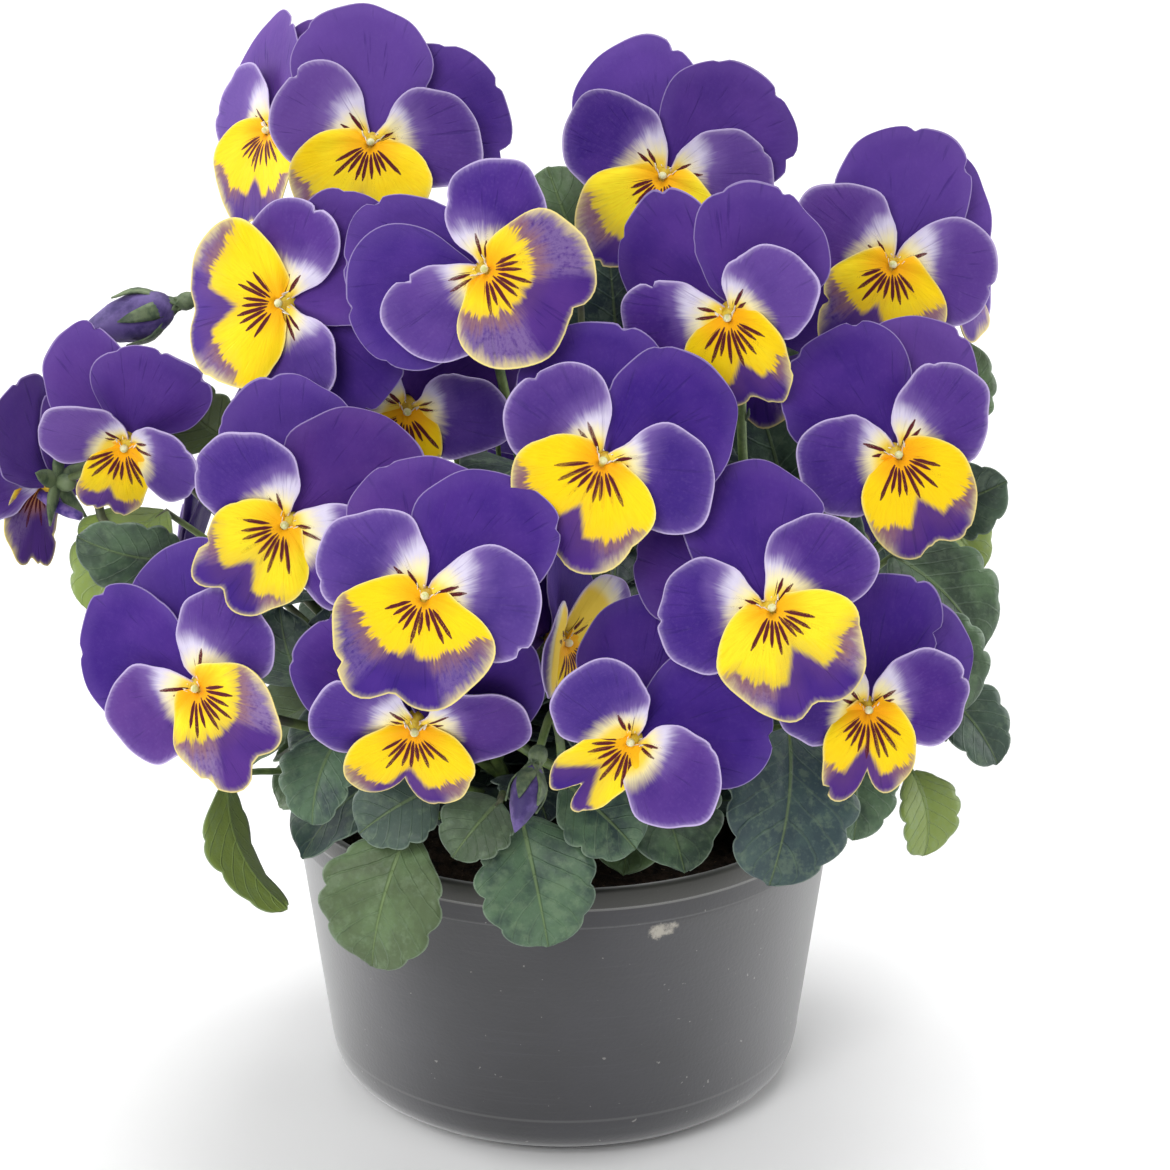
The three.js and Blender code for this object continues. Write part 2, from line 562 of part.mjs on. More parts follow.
// The calyx: five pointed sepals that meet in a receptacle just behind the corolla
function calyx(holder) {
  const frame = frameOf(holder);
  const closed = holder.length !== undefined;
  const reach = closed ? holder.radius + 2 : SEPAL_LENGTH;
  const tipZ = closed ? BUD_BASE - GAP : -CUP_FRONT - SEPAL_SWEEP;
  const ring = Array.from({ length: 2 * SEPALS }, (_, i) => {
    const angle = (i / SEPALS) * Math.PI;
    const [r, z] = i % 2 ? [CUP_RADIUS, -CUP_FRONT - CUP_EDGE] : [reach, tipZ];
    return inFrame(frame, r * Math.sin(angle), r * Math.cos(angle), z);
  });
  const front = inFrame(frame, 0, 0, closed ? BUD_BASE - GAP : -CUP_FRONT);
  const back = inFrame(frame, 0, 0, -CUP_FRONT - CUP_LENGTH);
  const corners = [front, back, ...ring].flatMap((corner) => corner.toArray());
  const index = ring.flatMap((_, i) => {
    const [a, b] = [i + 2, ((i + 1) % ring.length) + 2];
    return [0, b, a, 1, a, b];
  });
  const geometry = new THREE.BufferGeometry()
    .setAttribute("position", new THREE.BufferAttribute(new Float32Array(corners), 3))
    .setIndex(index);
  return solid(geometry);
}

// The hooked stalk from a stem to the back of a calyx, bent by one of the listed bends
function stalk(start, holder, bend, girth) {
  const frame = frameOf(holder);
  const end = inFrame(frame, 0, 0, -CUP_FRONT - CUP_HEART * CUP_LENGTH).addScaledVector(UP, CUP_EDGE);
  const back = inFrame(frame, 0, 0, -CUP_FRONT - CUP_LENGTH);
  const level = frame.face.clone().setZ(0).normalize();
  const sideways = vec(-level.y, level.x, 0);
  const [aside, inwards, behind] = bend;
  const crook = back.clone().addScaledVector(level, -HOOK_BACK - behind);
  crook.z += CROOK_LIFT * behind - HOOK_DROP;
  const top = back.clone().addScaledVector(level, -HOOK_BACK * HOOK_TOP).addScaledVector(UP, HOOK_RISE);
  const middle = start.clone().lerp(crook, 0.5).addScaledVector(sideways, aside)
    .addScaledVector(level, -inwards);
  const steps = start.distanceTo(crook) > STALK_LONG ? STALK_STEPS : STALK_STEPS - 1;
  return tube([start, middle, crook, top, end], STALK_RADIUS + girth, STALK_SIDES, steps);
}

// Half the width of a leaf at s, for a widest place of 1
function leafHalf(s) {
  if (s > LEAF_WIDEST) return Math.sqrt(1 - ((s - LEAF_WIDEST) / (1 - LEAF_WIDEST)) ** 2);
  return LEAF_BASE + (1 - LEAF_BASE) * Math.sin((Math.PI / 2) * (s / LEAF_WIDEST)) ** FLANK_POWER;
}

// A leaf: a petiole that bows up from the stem, and a toothed blade, arched along its length and
// folded a little at its rib
function leafOf(start, from, to, facing, wide, girth) {
  const along = to.clone().sub(from);
  const length = along.length();
  along.normalize();
  const across = along.clone().cross(facing).normalize();
  const normal = across.clone().cross(along);
  const half = LEAF_HALF * length * wide;
  const neck = PETIOLE_HALF + girth;
  const bow = start.clone().lerp(from, 0.6).addScaledVector(UP, PETIOLE_BOW * start.distanceTo(from));
  const path = new THREE.QuadraticBezierCurve3(start, bow, from);
  const place = (s, t) => {
    if (s < 0) {
      const point = path.getPoint(1 + s);
      const ahead = path.getTangent(1 + s);
      const flat = across.clone().addScaledVector(ahead, -across.dot(ahead)).normalize();
      return { point: point.addScaledVector(flat, t * neck), normal: flat.clone().cross(ahead) };
    }
    const b = t * Math.max(neck, half * leafHalf(s) + girth);
    const h = LEAF_ARCH * length * 4 * s * (1 - s) + LEAF_FOLD * Math.abs(b);
    return {
      point: from.clone().addScaledVector(along, s * length).addScaledVector(across, b)
        .addScaledVector(normal, h),
      normal: normal.clone().addScaledVector(along, -4 * LEAF_ARCH * (1 - 2 * s)).normalize(),
    };
  };
  const edge = [
    [-1, 0], [PETIOLE_NECK, 1], [0, 1],
    ...LEAF_EDGE.map((s, i) => [s, i % 2 ? 1 - CRENATION : 1]),
  ];
  return blade(edge, LEAF_RIB, place, LEAF_THICKNESS + 2 * girth);
}

// Blooms: each is pushed out the way it faces until it is clear of those before it
const placed = [];
const flowers = [...BLOOMS, ...BUDS].map((spec, item) => {
  const flower = spec.length ? budBody : corolla;
  const frame = frameOf(spec);
  for (let trial = 0; trial <= 2 * PUSH_MOST; trial++) {
    const push = PUSH_STEP * Math.ceil(trial / 2) * (trial % 2 ? 1 : -1);
    const moved = { ...spec, at: frame.at.clone().addScaledVector(frame.face, push).toArray(), item };
    if (crosses(flower(moved, GUARD).add(calyx(moved)), placed)) continue;
    const own = { made: flower(moved, 0), calyx: entry(calyx(moved), "calyx") };
    placed.push(entry(own.made, "flower"), own.calyx);
    return { ...moved, ...own };
  }
  throw new Error("flower " + (item + 1) + " finds no clear place");
});

const potMade = pot();
const soilMade = soil();
placed.push(entry(potMade, "pot"), entry(soilMade, "soil"));

// Stems come first, then the stalks of the blooms and buds, then the leaves
stems.forEach((stem, i) => {
  stem.name = "leafy_stem_" + String(i + 1).padStart(2, "0");
  stem.parts = [tube(stem.points, STEM_RADIUS, STEM_SIDES, STEM_STEPS)];
  stem.stalks = 0;
  stem.leaves = [];
  placed.push(entry(stem.parts[0], stem.name));
});

// The stems, the nearest to a place first
const nearest = (place, height) => {
  const away = (stem) => stemPoint(stem, height).distanceTo(place);
  return [...stems].sort((a, b) => away(a) - away(b)).slice(0, STEMS_TRIED);
};

for (const flower of flowers) {
  const anchor = inFrame(frameOf(flower), 0, 0, -ANCHOR_BACK).addScaledVector(UP, -ANCHOR_DROP);
  const tries = nearest(anchor, 1).flatMap((stem) => {
    const start = stemPoint(stem, STALK_FIRST + STALK_SPACING * (stem.stalks % STALK_LEVELS));
    return STALK_BENDS.map((bend) => ({ stem, start, bend }));
  });
  const found = tries.find(({ stem, start, bend }) => {
    const others = placed.filter((other) => other.owner !== stem.name && other !== flower.calyx);
    return !crosses(stalk(start, flower, bend, GUARD), others);
  });
  if (!found) throw new Error("flower " + (flower.item + 1) + " finds no way for its stalk");
  const { stem, start, bend } = found;
  const made = stalk(start, flower, bend, 0);
  stem.parts.push(made, flower.calyx.made);
  stem.stalks += 1;
  flower.calyx.owner = stem.name;
  placed.push(entry(made, stem.name));
}

// Adds the first leaf of a list that is clear of all but its own stem and stalks, if there is one
function addLeaf(tries) {
  const found = tries.find(({ stem, start, from, to, facing, wide }) => {
    const others = placed.filter((other) => other.owner !== stem.name || stem.leaves.includes(other));
    return !crosses(leafOf(start, from, to, facing, wide, GUARD), others);
  });
  if (!found) return;
  const { stem, start, from, to, facing, wide } = found;
  const made = leafOf(start, from, to, facing, wide, 0);
  stem.parts.push(made);
  stem.leaves.push(entry(made, stem.name));
  placed.push(stem.leaves.at(-1));
}

for (const spec of PLACED_LEAVES) {
  const [from, to] = [vec(...spec.from), vec(...spec.to)];
  const facing = frameOf({ at: spec.from, az: spec.az, el: spec.el, roll: 0 }).face;
  const level = facing.clone().setZ(0).normalize();
  const tries = LEAF_SLIDES.flatMap((slide) =>
    nearest(from, 0.5).flatMap((stem) =>
      LEAF_STARTS.flatMap((height) =>
        LEAF_TURNS.slice(0, PLACED_TURNS).map((turn) => {
          const reach = to.clone().sub(from).applyAxisAngle(facing, rad(turn));
          const root = from.clone().addScaledVector(level, slide);
          const start = stemPoint(stem, height);
          return { stem, start, from: root, to: root.clone().add(reach), facing, wide: spec.wide };
        }),
      ),
    ),
  );
  addLeaf(tries);
}

stems.forEach((stem, k) => {
  for (let i = 0; i < LEAVES_PER_STEM; i++) {
    const item = FIRST_LEAF_ITEM + k * 10 + i;
    const start = stemPoint(stem, LEAF_FIRST + LEAF_SPACING * i);
    const around = LEAF_HEADING * (i + 0.5) + spread(item, 1, 20);
    const heading = Math.atan2(stem.out.y, stem.out.x) + rad(around);
    const length = LEAF_LENGTH + LEAF_LENGTH_MORE * draw(item, 2);
    const drop = LEAF_DROP + LEAF_DROP_MORE * draw(item, 3);
    const tries = LEAF_SLIDES.flatMap((slide) =>
      LEAF_TURNS.map((turn) => {
        const dir = vec(Math.cos(heading + rad(turn)), Math.sin(heading + rad(turn)), 0);
        const from = start.clone().addScaledVector(dir, PETIOLE_REACH + Math.abs(slide));
        from.z += PETIOLE_RISE + slide;
        const to = from.clone().addScaledVector(dir, length).addScaledVector(UP, -drop);
        const facing = UP.clone().addScaledVector(dir, 0.2).normalize();
        return { stem, start, from, to, facing, wide: 1 };
      }),
    );
    addLeaf(tries);
  }
});

const group = new THREE.Group();
group.add(named("pot", potMade, COLOURS.pot), named("soil", soilMade, COLOURS.soil));
for (const stem of stems) {
  const made = stem.parts.reduce((all, piece) => all.add(piece));
  group.add(named(stem.name, made, COLOURS.leaf));
}
for (const { made, item, length } of flowers) {
  const number = String(length ? item - BLOOMS.length + 1 : item + 1).padStart(2, "0");
  group.add(named((length ? "bud_" : "bloom_") + number, made, COLOURS.petal));
}
export default group;
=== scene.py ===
"""A potted horned violet: fine petals, leaves, stems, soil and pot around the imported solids.

Lengths are in millimetres until a mesh is made. The front faces -Y, +Z is up, and the origin is the
centre of the pot's underside.
"""
import math

import bmesh
import bpy
import numpy as np
from mathutils import Matrix, Vector, kdtree
from mathutils.bvhtree import BVHTree


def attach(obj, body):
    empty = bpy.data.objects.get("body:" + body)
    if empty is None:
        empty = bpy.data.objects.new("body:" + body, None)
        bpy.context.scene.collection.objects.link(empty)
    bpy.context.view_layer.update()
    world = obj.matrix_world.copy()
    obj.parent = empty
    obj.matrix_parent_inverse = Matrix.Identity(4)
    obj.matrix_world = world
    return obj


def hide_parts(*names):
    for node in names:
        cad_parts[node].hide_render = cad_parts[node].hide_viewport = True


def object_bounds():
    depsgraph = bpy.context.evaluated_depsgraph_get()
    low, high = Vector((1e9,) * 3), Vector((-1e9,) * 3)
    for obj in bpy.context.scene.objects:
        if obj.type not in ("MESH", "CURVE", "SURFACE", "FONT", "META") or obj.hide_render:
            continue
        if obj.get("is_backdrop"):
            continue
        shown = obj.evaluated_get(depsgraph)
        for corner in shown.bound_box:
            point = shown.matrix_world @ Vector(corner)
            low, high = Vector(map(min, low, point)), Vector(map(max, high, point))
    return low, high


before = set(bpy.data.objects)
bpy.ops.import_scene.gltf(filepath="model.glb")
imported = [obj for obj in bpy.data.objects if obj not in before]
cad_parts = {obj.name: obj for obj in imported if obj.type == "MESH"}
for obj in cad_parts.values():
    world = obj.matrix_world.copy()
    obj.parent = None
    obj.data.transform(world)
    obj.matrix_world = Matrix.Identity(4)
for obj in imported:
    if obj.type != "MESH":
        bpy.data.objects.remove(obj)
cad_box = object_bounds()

MM = 0.001
UP = np.array([0.0, 0.0, 1.0])

# Pot and soil, as in the solids
RIM_RADIUS = 55
POT_HEIGHT = 63
COLLAR_DROP = 8
COLLAR_STEP = 0.9
LOWER_WALL_RADIUS = 47.6
LOWER_WALL_Z = 9
FOOT_RADIUS = 41
FOOT_HEIGHT = 2.2
WALL = 1.6
FLOOR = 3.4
WALL_INSET = 0.5
LIP_BAND = 3.8
LIP_WIDTH = 1.9
SOFT_EDGE = 0.6
DRAIN_COUNT = 6
DRAIN_RADIUS = 3.4
DRAIN_RING = 33
SOIL_BELOW_RIM = 7
SOIL_CROWN = 3
SOIL_BUMP = 1.1
SOIL_TOP = POT_HEIGHT - SOIL_BELOW_RIM
LIP_Z = POT_HEIGHT - LIP_BAND
COLLAR_Z = POT_HEIGHT - COLLAR_DROP
WALL_TOP = RIM_RADIUS - COLLAR_STEP - WALL_INSET
GAP = 0.3
HOLE_DEPTH = 12

# Stems and flower stalks, as in the solids
STEM_RINGS = [
    {"count": 9, "turn": -110, "root": 19, "reach": 47, "top": 106},
    {"count": 3, "turn": -90, "root": 6, "reach": 15, "top": 130},
]
STEM_RADIUS = 1.9
STEM_TIP_RADIUS = 1.35
STEM_TURN_SPREAD = 7
STEM_TOP_SPREAD = 7
STEM_SWAY = 3
STEM_NECK = 4
STEM_KNEE = 0.45
STEM_KNEE_HEIGHT = 0.42
STALK_RADIUS = 1
STALK_RADII = (1.35, 1.0, 0.8)
BRACT_RADII = (0.45, 0.4, 0.1)
STALK_STEPS = 5
STALK_LONG = 70
HOOK_BACK = 9
HOOK_RISE = 3
HOOK_DROP = 9
HOOK_TOP = 0.62
CROOK_LIFT = 0.7
STALK_FIRST = 0.62
STALK_SPACING = 0.09
STALK_LEVELS = 4
STEMS_TRIED = 3
STALK_BENDS = [
    (0, 0, 0), (5, 0, 0), (-5, 0, 0), (0, 7, 0), (10, 0, 0), (-10, 0, 0), (5, 8, 0), (-5, 8, 0),
    (0, -7, 0), (15, 0, 0), (-15, 0, 0), (0, 6, 8), (7, 6, 8), (-7, 6, 8), (0, 10, 14), (9, 10, 14),
    (-9, 10, 14), (20, 4, 6), (-20, 4, 6), (26, 0, 0), (-26, 0, 0), (0, 14, 20),
]
CUP_FRONT = 3.6
CUP_LENGTH = 4.4
CUP_RADIUS = 2.3
CUP_HEART = 0.45
CUP_EDGE = 0.4
SEPALS = 5
SEPAL_LENGTH = 9.5
SEPAL_SWEEP = 2.4
SEPAL_HALF = 1.7
SEPAL_THICKNESS = 0.34
SEPAL_PLACES = (0, 0.15, 0.3, 0.55, 0.8, 1)
SEPAL_WIDTHS = (0.55, 0.75, 0.85, 1, 0.62, 0.06)
SEPAL_TROUGH = 0.35
BUD_WRAP = 1.08
BUD_BASE = -2.3
BUD_NECK = 1.3

# Petals, as in the solids
PETAL_THICKNESS = 0.75
UPPER = {"length": 26, "half": 12.8, "widest": 0.56, "tilt": -5, "curl": -0.1, "cup": 0.05}
LATERAL = {"length": 20, "half": 9.4, "widest": 0.58, "tilt": 2, "curl": -0.06, "cup": 0.04}
LOWER = {"length": 19.8, "half": 12.6, "widest": 0.5, "tilt": 12, "curl": -0.2, "cup": 0.1}
LOWER_NOTCH = 0.09
UPPER_ANGLE = 29
LATERAL_ANGLE = 75
UPPER_SPREAD = 5
OTHER_SPREAD = 3
LAYER = 1.2
LAYERS = (-2.3, -1.2, 0, 0, 1)
FLANK_POWER = 0.8
FOLD_NARROWS = 55
SPUR_PATH = ((0, -2.4, 0.4), (0, -5.0, -4.0), (0, -6.4, -9))
PUSH_MOST = 16

# Leaves, as in the solids
LEAF_HALF = 0.44
LEAF_WIDEST = 0.42
LEAF_BASE = 0.12
LEAF_ARCH = 0.16
LEAF_FOLD = 0.16
LEAF_THICKNESS = 0.7
PETIOLE_BOW = 0.08
LEAVES_PER_STEM = 3
LEAF_FIRST = 0.28
LEAF_SPACING = 0.14
LEAF_HEADING = 137.5
LEAF_LENGTH = 21
LEAF_LENGTH_MORE = 7
LEAF_DROP = 4
LEAF_DROP_MORE = 12
PETIOLE_REACH = 12
PETIOLE_RISE = 5
PLACED_TURNS = 5
FIRST_LEAF_ITEM = 100
LEAF_TURNS = (0, 14, -14, 28, -28, 44, -44, 62, -62, 84, -84)
LEAF_SLIDES = (0, 3, -3, 6, -6, 9, -9, 12)
LEAF_STARTS = (0.45, 0.3, 0.6, 0.75)
# How near a leaf's corners are to those of its solid, and where along the petiole the two are compared
LEAF_FOUND = 0.3
PETIOLE_SPOT = 0.14
PETIOLE_CORNER = math.hypot(0.9, 0.35)
PETIOLE_WEIGHT = 0.02


def flower(at, az, el, roll, size=1, **more):
    """A flower by its throat, the bearing and the upward tilt of its face, its clockwise roll and size."""
    return dict(at=at, az=az, el=el, roll=roll, size=size, **more)


# fold is how far the side petals close forward, uppers the turns of the back and the front upper petal, and
# lip the width of the lower one. On the lower petal, zone is the reach of its two yellow lobes, wedge where
# the violet between them starts, and notch the depth of its cleft. cream is how much further the yellow of
# the side petals reaches.
BLOOMS = [
    flower((-57, 25, 189), -52, 15, -8, zone=13, wedge=9),
    flower((-36, -5, 195), -5, 18, 11, 1.04, uppers=(50, -23), zone=13.4, wedge=9),
    flower((-14, -50, 184), 0, 24, -62, 1.02, uppers=(-20, -46), lip=1.12, zone=8.6, wedge=7.4),
    flower((19, 0, 187), -5, 15, 17, 1.06, uppers=(-36, 37), zone=13.5, wedge=10),
    flower((62, -12, 173), 5, 18, 22, 1.04, uppers=(12, -10), lip=0.92, zone=10.6, wedge=7.6),
    flower((77, 16, 166), 66, 12, 52, 0.92, zone=9, wedge=7),
    flower((-52, -38, 174), -30, 15, 80, uppers=(37, -37), lip=1.2, zone=14.2, wedge=8),
    flower((30, -46, 174), -15, -6, -22, 0.98, fold=14, uppers=(-35, 44), zone=12.5, wedge=8, notch=0.12),
    flower((-82, -28, 143), -14, -20, 20, 0.88, fold=24, uppers=(-50, 8), zone=13, wedge=10, notch=0.1),
    flower((-100, -12, 130), -122, -8, -10, 0.9, fold=16),
    flower((-50, -62, 140), -14, 4, 40, 1.02, fold=12, uppers=(-46, 11), zone=13, wedge=8, notch=0.1),
    flower((7, -68, 154), 2, 24, 30, 1.04, uppers=(-36, 32), zone=13.4, wedge=8.5),
    flower((-29, -31, 150), 8, -8, 16, 0.96, fold=20, zone=11, wedge=8, notch=0.3),
    flower((61, -48, 148), 14, 14, -22, 1.02, fold=10, uppers=(47, -11), zone=13, wedge=8),
    flower((-67, -62, 108), -18, 8, -50, 1.02, uppers=(36, -22), lip=0.88, zone=9.4, wedge=8.4),
    flower((-24, -84, 134), -3, 27, 19, 1.05, uppers=(-26, 23), lip=1.08, zone=10.6, wedge=8.4),
    flower((37, -76, 129), 5, 24, -23, 1.05, uppers=(-27, 17), zone=13.2, wedge=7.6),
    flower((-27, -74, 105), 0, -24, 8, 1.02, fold=6, uppers=(-53, 43), zone=13, wedge=7.5, notch=0.4),
    flower((12, -80, 105), -8, 8, 46, 1.02, fold=30, uppers=(-37, 26), zone=13, wedge=6.5, notch=0.38),
    flower((55, -70, 107), 14, 3, 5, 0.96, fold=14, uppers=(64, 10), zone=12.5, wedge=6.5, notch=0.34),
    flower((-1, -62, 117), 62, 0, 0, 0.9, fold=20, zone=17, wedge=15, cream=9),
    flower((37, 4, 152), 170, 4, -10, 0.96),
    flower((-60, 42, 122), -128, 6, 12),
    flower((-36, 64, 120), -160, 12, -20, 1.03),
    flower((2, 74, 106), 178, 6, 8),
    flower((40, 62, 124), 150, 14, 24, 1.04),
    flower((62, 40, 112), 118, 8, -14, 0.98),
    flower((-14, 48, 146), -172, 26, 30, 1.02),
    flower((-78, 14, 102), -100, 6, 18, 0.98),
    flower((26, 44, 156), 166, 20, -24),
]
BUDS = [
    flower((-76, -10, 164), -84, -16, 0, length=17, radius=4.6),
    flower((-6, -74, 95), -20, -40, 0, length=11, radius=3),
]

# Leaves placed one by one: blade from its base to its tip, the way its upper face looks, its width, and how
# young and yellow it is
PLACED_LEAVES = [
    ((-29, -60, 78), (-36, -66, 53), -16, 24, 1.05, 0.28),
    ((-24, -58, 86), (-38, -63, 79), -10, 34, 1.2, 0.12),
    ((-42, -48, 92), (-47, -57, 78), -30, 24, 1.1, 0),
    ((-12, -60, 84), (-23, -66, 78), 0, 40, 1.2, 0.2),
    ((-8, -60, 81), (-3, -68, 58), 4, 24, 1.05, 0),
    ((0, -58, 87), (10, -64, 73), 6, 34, 1.1, 0),
    ((42, -50, 94), (38, -65, 69), 24, 34, 1.05, 0),
    ((54, -46, 88), (52, -59, 75), 34, 30, 1.1, 0.05),
    ((66, -42, 82), (62, -50, 68), 40, 20, 1.1, 0.85),
    ((-64, -38, 80), (-53, -46, 55), -112, 10, 0.75, 0.9),
    ((-76, -18, 126), (-93, -26, 110), -40, 36, 1.05, 0.9),
    ((-72, -32, 122), (-88, -40, 133), -40, 10, 0.9, 0.1),
    ((-64, -14, 139), (-76, -14, 151), -30, 20, 1.1, 0.6),
    ((71, 0, 136), (78, 0, 154), 30, 4, 1.05, 0.2),
    ((70, -20, 127), (84, -24, 134), 30, 20, 1.1, 0.1),
    ((70, -8, 122), (81, -12, 111), 40, 20, 1.1, 0.9),
    ((62, -32, 122), (79, -38, 105), 30, 40, 1.05, 0.1),
    ((70, -28, 94), (86, -34, 83), 20, 50, 0.9, 0.1),
    ((3, 8, 170), (-3, 10, 186), 0, 10, 1.05, 0.2),
    ((62, -44, 116), (73, -46, 97), 30, 14, 1, 0.1),
    ((-40, 56, 82), (-48, 66, 60), -148, 26, 1.05, 0.2),
    ((6, 62, 84), (10, 70, 61), 176, 24, 1.1, 0.1),
    ((44, 52, 84), (54, 60, 62), 140, 28, 1.05, 0.3),
    ((64, 12, 86), (76, 16, 66), 100, 30, 1.05, 0.2),
    ((-64, 18, 84), (-76, 22, 66), -106, 30, 1.05, 0.15),
]

# Leaves that close the gaps between the flowers: blade from its base to its tip, and the way its face looks
GAP_LEAVES = [
    ((44, 12, 116), (36, 18, 142), 10, 16),
    ((38, 24, 118), (50, 24, 142), 0, 16),
    ((46, 4, 100), (52, 0, 124), 10, 10),
    ((60, 6, 92), (66, 2, 114), 14, 10),
    ((28, 30, 132), (24, 34, 154), 0, 20),
    ((-14, 16, 140), (-8, 18, 164), 0, 16),
    ((11, 22, 141), (9, 26, 166), 0, 14),
    ((-44, 8, 118), (-46, 6, 142), -20, 14),
    ((-48, -32, 96), (-53, -42, 116), -20, 24),
    ((-38, -34, 98), (-43, -44, 116), -10, 24),
]
GAP_TRIALS = 60
GAP_SEED = 600
GAP_STEM_START = 0.7

# Fine petals: grid divisions, thickness in the middle and at the edge, and throat
PETAL_ROWS = 32
PETAL_COLUMNS = 22
LOWER_ROWS = 20
LOWER_COLUMNS = 70
FINE_PETAL = 0.42
FINE_EDGE = 0.22
PETAL_START = 0.03
PETAL_END = 0.9997
LOWER_START = 0.05
THROAT_DEPTH = 0.9
THROAT_WIDTH = 2.6
THROAT_PATH = (-3.2, -2.4, -1.2, 0.2)
THROAT_RADII = (1.5, 2.1, 2.1, 1.3)
HAIRS = 22
HAIR_RADII = (0.1, 0.09, 0.05)
STIGMA_HALF = (0.82, 0.75, 0.85)
SPUR_RADII = (1.3, 1.15, 0.85)
# Reach of the yellow and of the pale zone of the side petals, and a value that shows no yellow
SIDE_YELLOW = 5.6
SIDE_PALE = 7.4
NO_YELLOW = -30
# Edge distance where another edge is always nearer
NO_EDGE = 99
# How much less yellow the back of a petal shows
BACK_FADE = 9
# Reach of the lower petal from the throat, at angles from its middle line
LOWER_REACH = (
    (0, 17.5), (4, 17.9), (11, 19.0), (20, 19.4), (31, 18.6), (43, 17.1), (54, 15.7), (64, 14.4), (72, 12.9),
    (79, 11.0), (86, 9.0), (95, 6.9), (107, 5.2), (122, 4.0),
)
# Degrees from the lower petal's middle over which its cleft fades, and the most that its markings are turned
CLEFT_HALF = 16
MARKING_TURN = 5
# The yellow lobes reach further at the petal's flanks, by a share of what their zone has over a small one
SMALL_ZONE = 8.6
FLANK_SHARE = 1.2
FLANK_FROM = 48
FLANK_TO = 80
# Half angle of the violet wedge between the yellow lobes
WEDGE_ANGLE = 36
# How often the margin of a petal waves round it, and how far in or out
MARGIN_WAVES = ((2, 0.45), (3, 0.4), (5, 0.26), (9, 0.12))
WAVE_PHASES = 6.3
WAVE_FADE = 5
# Nicks of the margin: the most that they turn aside from the tip, in degrees, their depth and half width
PETAL_NICK_TURN = 130
PETAL_NICK_DEPTH = 1.5
PETAL_NICK_HALF = 0.07
PETAL_NICK_FADE = 2.4
# How far a kind of petal ruffles and bends out of its plane, how often it is nicked, how far its sides draw
# back, and the trait that its ruffle's phase is drawn by
MARGINS = {
    "upper": {"ruffle": 0.66, "bend": 1.3, "nicks": 3, "back": 0.06, "trait": 30},
    "lateral": {"ruffle": 0.385, "bend": 1.0, "nicks": 1, "back": 0.1, "trait": 30},
    "lower": {"ruffle": 0.55, "bend": 0.7, "nicks": 2, "back": 0, "trait": 31},
}

# Fine buds: grid divisions, and the radius, as a share of the widest, at places from the base to the tip
BUD_ROWS = 22
BUD_COLUMNS = 30
BUD_PLACES = (0, 0.06, 0.2, 0.37, 0.6, 0.8, 0.93, 1)
BUD_RADII = (0.62, 0.92, 1, 0.84, 0.5, 0.22, 0.03)

# Fine leaves: grid divisions, teeth on each side, the depth of the nicks between them, and the veins, which
# slant forward from the rib
LEAF_ROWS = 34
INNER_ROWS = 16
LEAF_COLUMNS = 12
TEETH = 4.1
NICK = 0.16
VEINS = 7
VEIN_SLANT = 2.3
LEAF_QUILT = 0.22
LEAF_RIPPLE = 0.02
TOOTH_START = 0.06
TOOTH_ROUNDNESS = 0.55
TIP_NICK = 0.035
GROOVE_DEPTH = 0.25
GROOVE_HALF = 0.7
LEAF_END = 0.997
FINE_LEAF = 0.5
LEAF_EDGE = 0.24
PETIOLE_RADIUS = 0.85
# Girth of a petiole at numbered points of its path
PETIOLE_POINTS = (0, 2, 7, 8)
PETIOLE_GIRTHS = (1.25, 1, 0.75, 0.35)
# Inner leaves: how many, how far from other things, their outer and lower limit, the painted shade that
# darkens them, the part of a stem that bears them, and their length
INNER_LEAVES_PER_STEM = 12
MORE_ON_MIDDLE_STEMS = 9
OUTER_STEMS = 9
INNER_CLEARANCE = 1.0
LEAF_CLEARANCE = 1.3
INNER_REACH = 76
INNER_LOWEST = POT_HEIGHT - 4
INNER_PAINTED_SHADE = -0.7
INNER_GIRTH = 0.6
INNER_FIRST = 0.2
INNER_SPAN = 0.79
INNER_LENGTH = 15
INNER_LENGTH_MORE = 9
MIDDLE_LENGTH_MORE = 4
INNER_TRIALS = 14
INNER_TURN = 26
INNER_SEED = 400

# Fine pot and soil: divisions, and the smudge on the pot by its bearing and height
POT_SIDES = 144
SOIL_RINGS = 46
SOIL_SIDES = 110
CLODS = 420
CLOD_SPIN = 6.28
SMUDGE_TURN = 0.36
SMUDGE_HALF_TURN = 0.075
SMUDGE_Z = 52.5
SMUDGE_HALF_HEIGHT = 2.2

SHEEN_ROUGHNESS = 0.5


def srgb(red, green, blue):
    """A colour given in 0 to 255 as the eye sees it, as linear values."""
    def linear(value):
        value /= 255
        return value / 12.92 if value <= 0.04045 else ((value + 0.055) / 1.055) ** 2.4
    return (linear(red), linear(green), linear(blue), 1.0)


MODULUS = 2147483647


def draw(item, trait):
    """A seeded draw from 0 to 1 for one item and one of its traits, whose number keeps its draws apart."""
    state = ((item + 1) * 7919 + (trait + 1) * 104729) % MODULUS
    for _ in range(3):
        state = state * 16807 % MODULUS
    return state / MODULUS


def spread(item, trait, most):
    """A seeded draw from -most to most."""
    return (draw(item, trait) * 2 - 1) * most


def unit(vector):
    return vector / np.linalg.norm(vector)


def heading(angle, rise=0):
    """A direction at an angle round the upright axis."""
    return np.array([math.cos(angle), math.sin(angle), rise])


def smooth(value, low, high):
    """0 below low, 1 above high, and a soft step between."""
    x = np.clip((value - low) / (high - low), 0, 1)
    return x * x * (3 - 2 * x)


